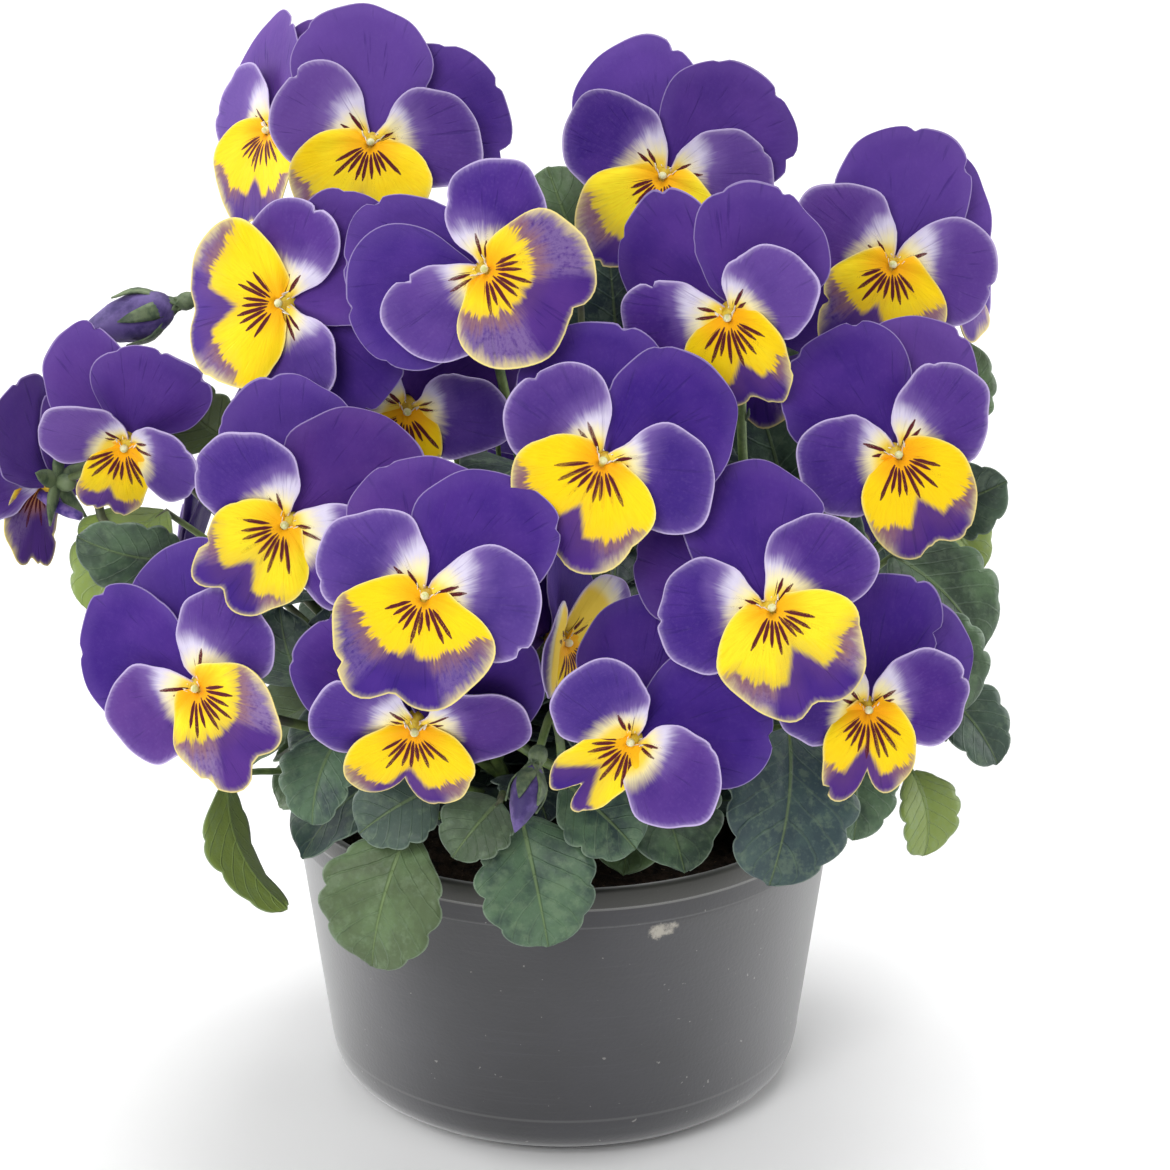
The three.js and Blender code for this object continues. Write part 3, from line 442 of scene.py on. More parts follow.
def through(points, places):
    """Points on a smooth curve through the given ones, at places from 0 to 1."""
    points = np.asarray(points, float)
    padded = np.vstack([2 * points[0] - points[1], points, 2 * points[-1] - points[-2]])
    spot = np.clip(np.asarray(places, float), 0, 1) * (len(points) - 1)
    index = np.minimum(spot.astype(int), len(points) - 2)
    w = (spot - index)[:, None]
    a, b, c, d = (padded[index + k] for k in range(4))
    start, end = 0.5 * (c - a), 0.5 * (d - b)
    return b + start * w + (-3 * b + 3 * c - 2 * start - end) * w**2 + (2 * b - 2 * c + start + end) * w**3


def even_places(points, count):
    """Places along a curve that divide its length evenly."""
    fine = np.linspace(0, 1, 201)
    steps = np.linalg.norm(np.diff(through(points, fine), axis=0), axis=1)
    length = np.concatenate([[0], np.cumsum(steps)])
    return np.interp(np.linspace(0, length[-1], count), length, fine)


class Frame:
    """The frame of a bloom: its place, the way it faces, and its own up and right seen from its front."""

    def __init__(self, spec, push=0):
        az, el, roll = (math.radians(spec[k]) for k in ("az", "el", "roll"))
        self.face = np.array([math.sin(az) * math.cos(el), -math.cos(az) * math.cos(el), math.sin(el)])
        right = unit(np.cross(UP, self.face))
        up = np.cross(self.face, right)
        self.up = up * math.cos(roll) + right * math.sin(roll)
        self.right = right * math.cos(roll) - up * math.sin(roll)
        self.at = np.asarray(spec["at"], float) + self.face * push

    def place(self, x, y, z):
        x, y, z = (np.asarray(v, float)[..., None] for v in (x, y, z))
        return self.at + x * self.right + y * self.up + z * self.face


class Piece:
    """A mesh of this scene, gathered from closed bodies, with marks and tones at its points."""

    def __init__(self, name):
        self.name = name
        self.points, self.faces, self.finishes = [], [], []
        self.marks, self.tones, self.looks = [], [], []
        self.count = 0

    def add(self, points, faces, look, marks=(0, 0, 0), tones=(0, 0, 0)):
        if look not in self.looks:
            self.looks.append(look)
        self.points.append(points)
        self.marks.append(np.broadcast_to(marks, points.shape))
        self.tones.append(np.broadcast_to(tones, points.shape))
        self.faces.extend(tuple(int(i) + self.count for i in face) for face in faces)
        self.finishes.extend([self.looks.index(look)] * len(faces))
        self.count += len(points)

    def make(self, slot, node):
        """The object of this piece, which stands for the named solid."""
        mesh = bpy.data.meshes.new(self.name)
        mesh.from_pydata(np.vstack(self.points) * MM, [], self.faces)
        for name, values in (("mark", self.marks), ("tone", self.tones)):
            layer = mesh.attributes.new(name, "FLOAT_VECTOR", "POINT")
            layer.data.foreach_set("vector", np.vstack(values).astype(np.float32).ravel())
        for look in self.looks:
            mesh.materials.append(LOOKS[look])
        mesh.polygons.foreach_set("material_index", self.finishes)
        mesh.polygons.foreach_set("use_smooth", [True] * len(self.faces))
        mesh.update()
        piece = show(self.name, mesh)
        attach(piece, "root")
        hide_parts(node)
        return piece


def show(name, data):
    """An object of the scene with the given mesh, light or camera."""
    thing = bpy.data.objects.new(name, data)
    bpy.context.scene.collection.objects.link(thing)
    return thing


def sheet(piece, grid, thickness, look, marks, tones, under=None):
    """A closed thin sheet on a grid of points, with its thickness given at each of them.

    under holds the marks of its lower side where they differ.
    """
    rows, columns = grid.shape[:2]
    normal = np.cross(np.gradient(grid, axis=1), np.gradient(grid, axis=0))
    normal /= np.maximum(np.linalg.norm(normal, axis=2, keepdims=True), 1e-9)
    offset = normal * thickness[..., None] / 2
    number = np.arange(rows * columns).reshape(rows, columns)
    a, b, c, d = number[:-1, :-1], number[:-1, 1:], number[1:, 1:], number[1:, :-1]
    top = np.stack([a, d, c, b], -1).reshape(-1, 4)
    rim = np.concatenate([number[0, :-1], number[:-1, -1], number[-1, :0:-1], number[:0:-1, 0]])
    after = np.roll(rim, -1)
    first = rows * columns
    sides = np.stack([rim, after, after + first, rim + first], -1)
    faces = np.concatenate([top, top[:, ::-1] + first, sides])
    under = marks if under is None else under
    def both(upper, lower):
        return np.concatenate([upper.reshape(-1, 3), lower.reshape(-1, 3)])
    piece.add(both(grid + offset, grid - offset), faces, look, both(marks, under), both(tones, tones))


def walls(rings, sides):
    """Faces between rings of points that follow each other, and the lids of the first and the last."""
    here = np.arange(rings * sides).reshape(rings, sides)
    after = np.roll(here, -1, axis=1)
    quads = np.stack([here[:-1], after[:-1], after[1:], here[1:]], -1)
    return [*quads.reshape(-1, 4), here[0][::-1], here[-1]]


def skin(piece, rings, tips, look):
    """A closed body round rings of points, with a tip before the first and another after the last."""
    count, sides = rings.shape[:2]
    *faces, start, end = walls(count, sides)
    tip = count * sides
    faces += [(tip, start[k - 1], start[k]) for k in range(sides)]
    faces += [(tip + 1, end[k - 1], end[k]) for k in range(sides)]
    piece.add(np.vstack([rings.reshape(-1, 3), tips]), faces, look)


def turns(sides):
    """Angles that divide a whole turn evenly."""
    return np.arange(sides) / sides * 2 * math.pi


def level_rings(profile, sides):
    """Level rings of points round the axis, of the radii and heights of a profile."""
    radius, height = np.array(profile, float).T[..., None]
    turn = turns(sides)
    return np.stack(np.broadcast_arrays(radius * np.cos(turn), radius * np.sin(turn), height), -1)


def tube(piece, centres, radii, sides, look):
    """A closed round tube along some centres, with a radius at each."""
    centres = np.asarray(centres, float)
    radii = np.broadcast_to(radii, len(centres))
    ahead = np.gradient(centres, axis=0)
    ahead /= np.linalg.norm(ahead, axis=1, keepdims=True)
    side = unit(np.cross(ahead[0], UP if abs(ahead[0][2]) < 0.9 else np.array([1.0, 0, 0])))
    turn = turns(sides)[:, None]
    rings = []
    for centre, radius, forward in zip(centres, radii, ahead):
        side = unit(side - forward * side.dot(forward))
        across = np.cross(forward, side)
        rings.append(centre + radius * (np.cos(turn) * side + np.sin(turn) * across))
    tips = (centres[0] - ahead[0] * radii[0] / 2, centres[-1] + ahead[-1] * radii[-1] / 2)
    skin(piece, np.array(rings), tips, look)


def ball(piece, centre, axes, look, rings=7, sides=12):
    """A closed ellipsoid with three half axes given as vectors."""
    a, b, c = (np.asarray(axis, float) for axis in axes)
    lift = np.arange(1, rings)[:, None, None] / rings * math.pi
    turn = turns(sides)[:, None]
    points = centre + np.sin(lift) * (np.cos(turn) * a + np.sin(turn) * b) - np.cos(lift) * c
    skin(piece, points, (centre - c, centre + c), look)


# Materials
def operator(operation, flipped=False):
    """An arithmetic operator that adds a math node."""
    def method(self, other):
        return self.tree.math(operation, other, self) if flipped else self.tree.math(operation, self, other)
    return method


class Value:
    """A value that a material works out from others, with plain arithmetic."""

    def __init__(self, tree, socket):
        self.tree, self.socket = tree, socket

    __add__ = operator("ADD")
    __sub__ = operator("SUBTRACT")
    __rsub__ = operator("SUBTRACT", True)
    __mul__ = operator("MULTIPLY")
    __truediv__ = operator("DIVIDE")

    def __abs__(self):
        return self.tree.math("ABSOLUTE", self)

    def __round__(self):
        return self.tree.math("ROUND", self)


class Tree:
    """A short way to write a material's nodes."""

    def __init__(self, name, roughness, specular, sheen=0.0, sheen_tint=(1, 1, 1, 1)):
        self.material = bpy.data.materials.new(name)
        self.material.use_nodes = True
        self.nodes = self.material.node_tree.nodes
        self.links = self.material.node_tree.links
        self.shader = self.nodes["Principled BSDF"]
        self.base = None
        self.set(self.shader, {
            "Roughness": roughness, "Specular IOR Level": specular, "Sheen Weight": sheen,
            "Sheen Roughness": SHEEN_ROUGHNESS, "Sheen Tint": sheen_tint,
        })

    def set(self, node, values):
        """Gives some of a node's sockets a number, a colour or another node's value."""
        for name, value in values.items():
            if isinstance(value, Value):
                self.links.new(value.socket, node.inputs[name])
            else:
                node.inputs[name].default_value = value

    def add(self, kind, values, **settings):
        """A new node of a kind, with its settings and the values of its sockets."""
        node = self.nodes.new("ShaderNode" + kind)
        for name, value in settings.items():
            setattr(node, name, value)
        self.set(node, values)
        return node

    def math(self, operation, a, b=0.0):
        return Value(self, self.add("Math", {0: a, 1: b}, operation=operation).outputs[0])

    def parts(self, vector):
        """The three parts of a vector."""
        return [Value(self, socket) for socket in self.add("SeparateXYZ", {0: vector}).outputs]

    def attribute(self, name):
        node = self.add("Attribute", {}, attribute_name=name)
        return self.parts(Value(self, node.outputs["Vector"]))

    def place(self):
        return Value(self, self.add("TexCoord", {}).outputs["Object"])

    def vector(self, x, y, z):
        return Value(self, self.add("CombineXYZ", {0: x, 1: y, 2: z}).outputs[0])

    def noise(self, vector, scale, detail=3.0, rough=0.5):
        values = {"Vector": vector, "Scale": scale, "Detail": detail, "Roughness": rough}
        return Value(self, self.add("TexNoise", values).outputs[0])

    def random(self, value):
        return Value(self, self.add("TexWhiteNoise", {"W": value}, noise_dimensions="1D").outputs["Value"])

    def step(self, value, low, high):
        """0 at low and 1 at high, softly; low may be the higher one."""
        start, end = (1.0, 0.0) if low > high else (0.0, 1.0)
        low, high = sorted((low, high))
        values = {"Value": value, "From Min": low, "From Max": high, "To Min": start, "To Max": end}
        return Value(self, self.add("MapRange", values, interpolation_type="SMOOTHSTEP").outputs[0])

    def mix(self, share, a, b):
        return Value(self, self.add("Mix", {0: share, 6: a, 7: b}, data_type="RGBA").outputs[2])

    def paint(self, share, colour):
        """Lays a colour over the base colour, as far as share says."""
        self.base = self.mix(share, self.base, colour)

    def finish(self, height=None, strength=0.0, distance=0.0):
        """The material, with its base colour and the relief of a height."""
        self.set(self.shader, {"Base Color": self.base})
        if height is not None:
            values = {"Strength": strength, "Distance": distance * MM, "Height": height}
            self.set(self.shader, {"Normal": Value(self, self.add("Bump", values).outputs[0])})
        return self.material


DEEP_VIOLET = srgb(52, 22, 120)
VIOLET = srgb(68, 36, 132)
PAINTED_LIGHT_VIOLET = srgb(104, 70, 152)
DARK_VEIN = srgb(36, 12, 98)
LILAC = srgb(128, 102, 170)
GREY_LILAC = srgb(140, 116, 164)
EDGE_LILAC = srgb(206, 190, 230)
WHITE_LILAC = srgb(216, 209, 231)
PLUM = srgb(104, 58, 128)
CREAM = srgb(250, 238, 168)
YELLOW = srgb(254, 214, 4)
LEMON = srgb(252, 228, 38)
PALE_YELLOW = srgb(250, 232, 140)
ORANGE = srgb(252, 170, 4)
BROWN = srgb(150, 104, 82)
MAROON = srgb(88, 22, 32)
AMBER = srgb(240, 188, 12)


class Petal(Tree):
    """A petal's nodes. mark: yellow zone, pale zone, edge distance in mm. tone: across, along in mm, seed."""

    def __init__(self, name):
        super().__init__(name, 0.66, 0.16, sheen=0.08, sheen_tint=srgb(170, 150, 215))
        self.yellow, self.pale, self.edge = self.attribute("mark")
        across, along, self.seed = self.attribute("tone")
        self.radius = self.math("SQRT", across * across + along * along)
        self.angle = self.math("ARCTAN2", across, along)
        self.wide = self.rays(self.seed, 7, 0.12)
        self.fine = self.rays(self.seed + 7, 30, 0.3)
        self.vein = self.step(self.rays(self.seed, 20, 0.09, 2), 0.6, 0.72)
        spot = self.vector(across, along, self.seed)
        self.cloud = self.noise(spot, 0.11)
        self.grain = self.noise(spot, 1.6, 2)
        self.rough = self.wide * 3.4 + self.fine * 3.0 - 3.2
        self.mottle = self.step(self.grain + self.fine * 0.6, 0.75, 1.15) * 0.35
        self.dice = self.random(self.seed)
        blush = self.random(self.seed + 0.37)
        self.blush = blush * blush * (self.cloud * 0.55 + 0.1)

    def rays(self, seed, often, lengthwise, detail=3):
        """Noise drawn out along the veins that leave the throat."""
        return self.noise(self.vector(self.angle * often, self.radius * lengthwise, seed), 1.0, detail)

    def violet(self):
        """Violet all over, darker along the veins, with painted light: lighter on blooms high up and far to
        the sides.
        """
        self.base = self.mix(self.step(self.cloud, 0.32, 0.7), DEEP_VIOLET, VIOLET)
        self.paint(self.blush, PLUM)
        x, _, z = self.parts(self.place())
        # Painted light: the higher and the further to the side a bloom is, the lighter its violet is painted.
        lit_place = z * 0.8 + abs(x) + (self.dice - 0.5) * 0.05
        self.paint(self.step(lit_place, 0.15, 0.24) * 0.62, PAINTED_LIGHT_VIOLET)
        self.paint(self.vein * 0.4, DARK_VEIN)

    def upper(self):
        self.paint(self.mottle * 0.16, LILAC)
        self.paint(self.step(self.edge, 4.0, 0.2) * 0.14, LILAC)
        self.paint(self.step(self.edge, 0.28, 0.08) * 0.36, EDGE_LILAC)

    def lateral(self):
        """Faded violet, with a white zone beside the throat."""
        rough = self.rough * 0.55 + (self.cloud - 0.5) * 4.0
        faded = self.dice * self.dice * (self.cloud * 0.9 + 0.1)
        self.paint(faded * 0.35, LILAC)
        self.paint(self.step(self.edge + rough, 3.6, 0.0) * 0.22, LILAC)
        self.paint(self.mottle * 0.3, LILAC)
        zone = self.pale + rough
        self.paint(self.step(zone, -4.2, 1.0) * 0.7, LILAC)
        self.paint(self.step(zone, -1.0, 2.6) * (1.0 - self.vein * 0.45), WHITE_LILAC)
        self.paint(self.step(self.yellow + rough, -3.4, 0.8) * 0.9, CREAM)
        self.paint(self.step(self.yellow, -0.4, 2.0) * 0.85, YELLOW)
        self.rim(EDGE_LILAC, 1.3, 0.3, 0.66)
        self.whiskers(17, 8, 0.5, 1.1, 4.6)

    def lower(self):
        """Yellow lobes with feathered brownish borders, warmer at the throat."""
        lobe = self.step(self.pale + self.rough * 0.5, 0.3, 3.2)
        veil = lobe * (self.dice * 0.6 + 0.3) * self.step(self.grain + self.fine, 0.5, 1.15)
        self.paint(veil, GREY_LILAC)
        self.paint(self.step(self.edge + self.rough, 2.6, 0.0) * (lobe * 0.5), PALE_YELLOW)
        zone = self.yellow + self.rough * (lobe * 1.05 + 0.3)
        self.paint(self.step(zone, -4.4, -0.4) * (lobe * 0.5 + 0.12), BROWN)
        gold = self.mix(self.step(self.cloud + self.dice, 0.7, 1.3), YELLOW, LEMON)
        gold = self.mix(self.step(self.fine, 0.42, 0.72) * 0.34, gold, AMBER)
        gold = self.mix(self.step(zone, 3.4, 0.0) * (self.dice * 0.4), gold, BROWN)
        self.paint(self.step(zone, -0.7, 0.6), gold)
        warmth = self.step(self.radius + self.wide * 2.4, 9.5, 2.6) * (self.blush * 0.6 + 0.8)
        self.paint(self.math("MINIMUM", warmth, 1.0), ORANGE)
        self.rim(PALE_YELLOW, 1.2, 0.25, 0.65)
        self.whiskers(13, 0, 0, 4.6, 6.3)

    def rim(self, colour, reach, soft, crisp):
        """A pale rim: a soft one as far in as reach, and a crisp one on the very edge."""
        self.paint(self.step(self.edge + (self.fine - 0.5) * 1.2, reach, 0.0) * soft, colour)
        self.paint(self.step(self.edge, 0.42, 0.12) * crisp, colour)

    def whiskers(self, gap, bearing, middle, most, reach):
        """Dark lines that leave the throat, a gap apart, one of them at a bearing.

        They keep within most gaps of the middle of their row, and end a little beyond reach.
        """
        gap = math.radians(gap)
        turned = (self.angle - math.radians(bearing)) / gap
        line = round(turned)
        dice = self.random(line + self.seed * 3.7)
        other = self.random(line + self.seed * 5.3)
        offset = turned - line - (other - 0.5) * 0.4
        away = abs(offset) * gap * self.radius + (self.fine - 0.5) * 0.3
        inside = self.math("MINIMUM", self.radius - (other * 1.1 + 1.7), dice * 3.2 + reach - self.radius)
        half = self.math("MINIMUM", inside * 0.2 + 0.08, 0.35)
        mask = self.step(half - away, -0.07, 0.05) * self.step(inside, 0.0, 0.15)
        self.paint(mask * self.step(abs(turned - middle), most + 0.1, most), MAROON)


def petal_look(name, marking):
    t = Petal(name)
    t.violet()
    marking(t)
    return t.finish(t.fine * 0.6 + (t.wide + t.vein) + t.cloud * 5.0, 0.35, 0.3)


def plain_look(name, dark, light, scale, roughness, relief, sheen=0.0):
    """A mottled finish between two colours."""
    t = Tree(name, roughness, 0.4, sheen=sheen)
    value = t.noise(t.place(), scale, 4, 0.6)
    t.base = t.mix(t.step(value, 0.36, 0.64), dark, light)
    return t.finish(value + t.noise(t.place(), scale * 6, 3, 0.6) * 0.5, 0.5, relief)


def leaf_look():
    """Leaves. mark: along 0 to 1, across -1 to 1, edge distance in mm. tone: youth (below 0, painted shade),
    seed, half width.
    """
    t = Tree("leaf", 0.5, 0.4, sheen=0.12, sheen_tint=srgb(200, 215, 220))
    along, across, edge = t.attribute("mark")
    youth_and_shade, seed, half = t.attribute("tone")
    side = abs(across)
    cloud = t.noise(t.place(), 140, 4, 0.6)
    grain = t.noise(t.place(), 900, 3, 0.6)
    patch = t.step(t.noise(t.place(), 330, 3, 0.7), 0.5, 0.66)
    t.base = t.mix(t.step(cloud + seed * 0.1, 0.36, 0.68), srgb(30, 52, 50), srgb(78, 106, 78))
    # Painted shade: leaves with a low seed turn darker and bluer, as if shaded among the violet flowers.
    t.paint(t.step(seed, 0.1, -0.9), t.mix(cloud, srgb(30, 48, 58), srgb(62, 84, 88)))
    t.paint(t.math("MAXIMUM", youth_and_shade, 0.0) * 0.85, srgb(136, 156, 62))
    # Painted shade: a youth below 0, given to the inner leaves, darkens a leaf as if it lay in shade within
    # the plant.
    t.paint(t.step(youth_and_shade, 0.0, -1.0) * 0.8, srgb(20, 30, 38))
    t.paint(t.step(grain, 0.5, 0.8) * 0.2, srgb(120, 142, 124))
    t.paint(patch * 0.24, srgb(124, 146, 112))
    fan = along * VEINS - side * VEIN_SLANT + (cloud - 0.5) * 0.5
    net = t.step(abs(fan - round(fan)), 0.09, 0.02)
    t.paint(net * 0.12, srgb(110, 140, 98))
    middle = t.step(side * half + along * 0.34, 0.62, 0.3)
    t.paint(middle * 0.4, srgb(128, 152, 90))
    t.paint(t.step(edge, 0.4, 0.1) * 0.32, srgb(160, 178, 158))
    return t.finish(cloud * 0.5 - net * 0.6 - middle + grain * 0.4, 0.6, 0.45)


def stem_look():
    """Stems and stalks: green, with a purple blush."""
    t = Tree("stem", 0.45, 0.45)
    streak = t.noise(t.place(), 260, 4, 0.6)
    t.base = t.mix(t.step(streak, 0.35, 0.65), srgb(74, 98, 52), srgb(116, 138, 74))
    t.paint(t.step(t.noise(t.place(), 60, 2), 0.48, 0.66) * 0.55, srgb(76, 48, 70))
    return t.finish(streak, 0.4, 0.2)


def pot_look():
    """Dark grey moulded plastic with fine scratches, specks and a smudge of soil, and painted highlights
    along its edges.
    """
    t = Tree("pot_plastic", 0.44, 0.5, sheen=0.6)
    place = t.place()
    x, y, z = t.parts(place)
    turn = t.math("ARCTAN2", x, y * -1.0)
    cloud = t.noise(place, 26, 4, 0.6)
    t.base = t.mix(t.step(cloud, 0.3, 0.7), srgb(39, 39, 43), srgb(48, 48, 54))
    ring = t.noise(t.vector(turn * 2.0, 0.0, z * 2600.0), 1.0)
    t.paint(t.step(ring, 0.55, 0.75) * 0.07, srgb(112, 112, 118))
    scratch = t.noise(t.vector(turn * 9.0, z * 620.0, cloud), 1.0, 4, 0.7)
    t.paint(t.step(scratch, 0.7, 0.76) * 0.22, srgb(136, 136, 138))
    t.paint(t.step(t.noise(place, 620, 2), 0.735, 0.76) * 0.6, srgb(150, 148, 144))
    t.paint(t.step(z, (LIP_Z - 1) * MM, LIP_Z * MM) * 0.92, srgb(36, 36, 29))
    # Painted highlights: thin light lines along the lip, the collar's step and the lower wall's bend.
    for height, strength in ((LIP_Z - 0.3, 0.5), (COLLAR_Z, 0.16), (LOWER_WALL_Z + 1, 0.16)):
        t.paint(t.step(abs(z - height * MM), 0.4 * MM, 0.15 * MM) * strength, srgb(142, 142, 140))
    beside = (turn - SMUDGE_TURN) / SMUDGE_HALF_TURN
    above = (z - SMUDGE_Z * MM) / (SMUDGE_HALF_HEIGHT * MM)
    smudge = beside * beside + above * above + t.noise(place, 420, 4, 0.7) * 3.2
    t.paint(t.step(smudge, 2.3, 1.4) * 0.75, srgb(186, 180, 166))
    return t.finish(t.noise(place, 1400, 2) + scratch * 0.5, 0.25, 0.12)


def soil_look():
    """Dark crumbs with pale fibres."""
    t = Tree("potting_soil", 0.95, 0.2)
    crumb = t.noise(t.place(), 420, 5, 0.7)
    t.base = t.mix(t.step(crumb, 0.35, 0.65), srgb(22, 17, 14), srgb(62, 48, 38))
    t.paint(t.step(t.noise(t.place(), 1100, 2), 0.68, 0.74) * 0.5, srgb(140, 112, 84))
    return t.finish(crumb, 0.9, 1.2)


LOOKS = {
    "upper": petal_look("petal_upper", Petal.upper),
    "lateral": petal_look("petal_lateral", Petal.lateral),
    "lower": petal_look("petal_lower", Petal.lower),
    "spur": plain_look("spur", DEEP_VIOLET, LILAC, 300, 0.55, 0.1, sheen=0.2),
    "bud": plain_look("bud", srgb(56, 40, 100), srgb(104, 86, 146), 220, 0.6, 0.2, sheen=0.1),
    "throat": plain_look("throat", srgb(190, 150, 20), srgb(226, 196, 60), 500, 0.5, 0.1),
    "stigma": plain_look("stigma", srgb(196, 198, 120), srgb(240, 236, 196), 700, 0.45, 0.1),
    "beard": plain_look("beard", srgb(236, 232, 214), srgb(252, 250, 240), 700, 0.6, 0.05, sheen=0.3),
    "leaf": leaf_look(),
    "stem": stem_look(),
    "sepal": plain_look("sepal", srgb(66, 84, 62), srgb(112, 128, 92), 330, 0.5, 0.2),
    "pot": pot_look(),
    "soil": soil_look(),
}


# Petals
def surface(kind, along, across):
    """Height of a petal over its own plane, as in the solids."""
    q = along / kind["length"]
    w = across / kind["half"]
    return kind["length"] * kind["curl"] * q * q + kind["half"] * kind["cup"] * w * w


def petal_axes(bloom, kind, turn, layer):
    """Base, direction along, direction across and normal of a petal's plane."""
    c, s = math.cos(math.radians(turn)), math.sin(math.radians(turn))
    out = bloom.up * c + bloom.right * s
    across = bloom.right * c - bloom.up * s
    tilt = math.radians(kind["tilt"])
    along = out * math.cos(tilt) + bloom.face * math.sin(tilt)
    normal = bloom.face * math.cos(tilt) - out * math.sin(tilt)
    return bloom.place(0, 0, layer), along, across, normal


def flank(kind, s):
    """Half the width of a petal at s, from its base at 0 to its tip at 1."""
    s = np.asarray(s, float)
    rising = kind["half"] * np.sin(math.pi / 2 * np.clip(s / kind["widest"], 0, 1)) ** FLANK_POWER
    beyond = np.clip((s - kind["widest"]) / (1 - kind["widest"]), 0, 1)
    return np.where(s > kind["widest"], kind["half"] * np.sqrt(1 - beyond**2), rising)


def wavy(theta, phase, strength, item):
    """Slow and quick waves of a petal's margin."""
    slow = np.sin(3 * theta + phase)
    quick = 0.4 * np.sin(7.3 * theta + 1.7 * phase + item)
    return strength * (slow + quick)


def frayed(along, across, edge, centre, seed, nicks):
    """A petal's points with an uneven margin: slow waves, and a few small nicks."""
    bearing = np.arctan2(across, along - centre)
    push = np.zeros_like(bearing)
    for k, (often, most) in enumerate(MARGIN_WAVES):
        push += most * (0.4 + draw(seed, 80 + k)) * np.sin(often * bearing + WAVE_PHASES * draw(seed, 84 + k))
    push *= 1 - smooth(edge, 0, WAVE_FADE)
    for k in range(nicks):
        place = math.radians(spread(seed, 90 + k, PETAL_NICK_TURN))
        deep = PETAL_NICK_DEPTH * draw(seed, 94 + k) ** 2 + 0.15
        narrow = np.exp(-(((bearing - place) / PETAL_NICK_HALF) ** 2))
        push -= deep * narrow * (1 - smooth(edge, 0, PETAL_NICK_FADE))
    scale = 1 + push / np.maximum(np.hypot(across, along - centre), 1)
    return centre + (along - centre) * scale, across * scale


def lay_petal(piece, axes, kind, along, across, edge, look, yellow, pale, seed, side=1):
    """A petal's sheet, ruffled at its edge, bent, and drawn in at the throat."""
    base, ahead, sideways, normal = axes
    margin = MARGINS[look]
    theta = np.arctan2(across, along)
    radius = np.hypot(along, across)
    along, across = frayed(along, across, edge, kind["length"] / 2, seed, margin["nicks"])
    rim = 1 - smooth(edge, 0, 0.35 * kind["length"])
    phase = WAVE_PHASES * draw(seed, margin["trait"])
    height = surface(kind, along, across) + wavy(theta, phase, margin["ruffle"], seed) * rim
    reach = along / kind["length"]
    twist = spread(seed, 33, 1) * reach**3 + spread(seed, 34, 1) * reach**2 * across / kind["half"]
    height = height + margin["bend"] * twist
    height = height - THROAT_DEPTH * np.exp(-((radius / THROAT_WIDTH) ** 2))
    grid = base + along[..., None] * ahead + across[..., None] * sideways + height[..., None] * normal
    thickness = FINE_EDGE + (FINE_PETAL - FINE_EDGE) * smooth(edge, 0, 3)
    marks = np.stack([yellow, pale, edge], -1)
    tones = np.stack([side * across, along, np.full_like(along, seed)], -1)
    sheet(piece, grid, thickness, look, marks, tones, marks - (BACK_FADE, 0, 0))


def oval_petal(piece, axes, kind, size, look, seed, side, cream):
    """An upper or a side petal, on a grid from its base to its tip."""
    s = np.sin(np.linspace(0, math.pi / 2, PETAL_ROWS)) * (1 - PETAL_START) + PETAL_START
    s[-1] = PETAL_END
    t = np.sin(np.linspace(-1, 1, PETAL_COLUMNS) * math.pi / 2)
    s, t = np.meshgrid(s, t, indexing="ij")
    wide = flank(kind, s) * size
    across = t * wide
    share = across / kind["half"]
    tip = kind["length"] * size
    along = tip * (s - MARGINS[look]["back"] * (1 - s) * share**2 + 0.02 * np.sin(3.1 * seed) * s * share)
    ellipse = np.hypot((along - kind["widest"] * tip) / ((1 - kind["widest"]) * tip), share / size)
    round_edge = np.where(s > kind["widest"], (1 - ellipse) * 0.45 * tip, NO_EDGE)
    edge = np.maximum(np.minimum(np.abs(wide - np.abs(across)), round_edge), 0)
    radius = np.hypot(along, across) / size
    if look == "upper":
        yellow = np.full_like(radius, NO_YELLOW)
        pale = 1.5 - radius
    else:
        # The pale zone runs along the edge that looks to the upper petals
        inner = side * across / np.maximum(radius * size, 0.1)
        yellow = SIDE_YELLOW + cream - radius - 1.6 * inner
        pale = SIDE_PALE + cream + 3.6 * inner + spread(seed, 32, 1.2) - radius
    lay_petal(piece, axes, kind, along, across, edge, look, yellow, pale, seed, side)


def lower_petal(piece, axes, kind, size, seed, zone, wedge, notch):
    """The lower petal, on a fan round the throat, with two yellow lobes and a violet wedge between them."""
    curve = through(LOWER_REACH, np.linspace(0, 1, 400))
    theta = np.linspace(-1, 1, LOWER_COLUMNS) * LOWER_REACH[-1][0]
    reach = np.interp(np.abs(theta), curve[:, 0], curve[:, 1])
    reach *= 1 - notch * np.exp(-np.abs(theta - spread(seed, 35, MARKING_TURN)) / CLEFT_HALF)
    share = np.sin(np.linspace(0, math.pi / 2, LOWER_ROWS)) * (1 - LOWER_START) + LOWER_START
    share, theta = np.meshgrid(share, theta, indexing="ij")
    reach = np.broadcast_to(reach, share.shape) * size
    bearing = np.radians(theta)
    along = share * reach * np.cos(bearing)
    across = share * reach * np.sin(bearing) * kind["half"] / LOWER["half"]
    edge = np.maximum((1 - share) * reach * 0.95, 0)
    turned = np.degrees(np.arctan2(across, along)) - spread(seed, 36, MARKING_TURN)
    further = FLANK_SHARE * (zone - SMALL_ZONE) * smooth(np.abs(turned), FLANK_FROM, FLANK_TO)
    lobes = zone + further - np.hypot(along, across) / size
    c, s = math.cos(math.radians(WEDGE_ANGLE)), math.sin(math.radians(WEDGE_ANGLE))
    beside = (np.abs(across - spread(seed, 37, 0.1) * along) * c - (along - wedge * size) * s) / size
    yellow = np.minimum(lobes, beside)
    lay_petal(piece, axes, kind, along, across, edge, "lower", yellow, beside, seed)


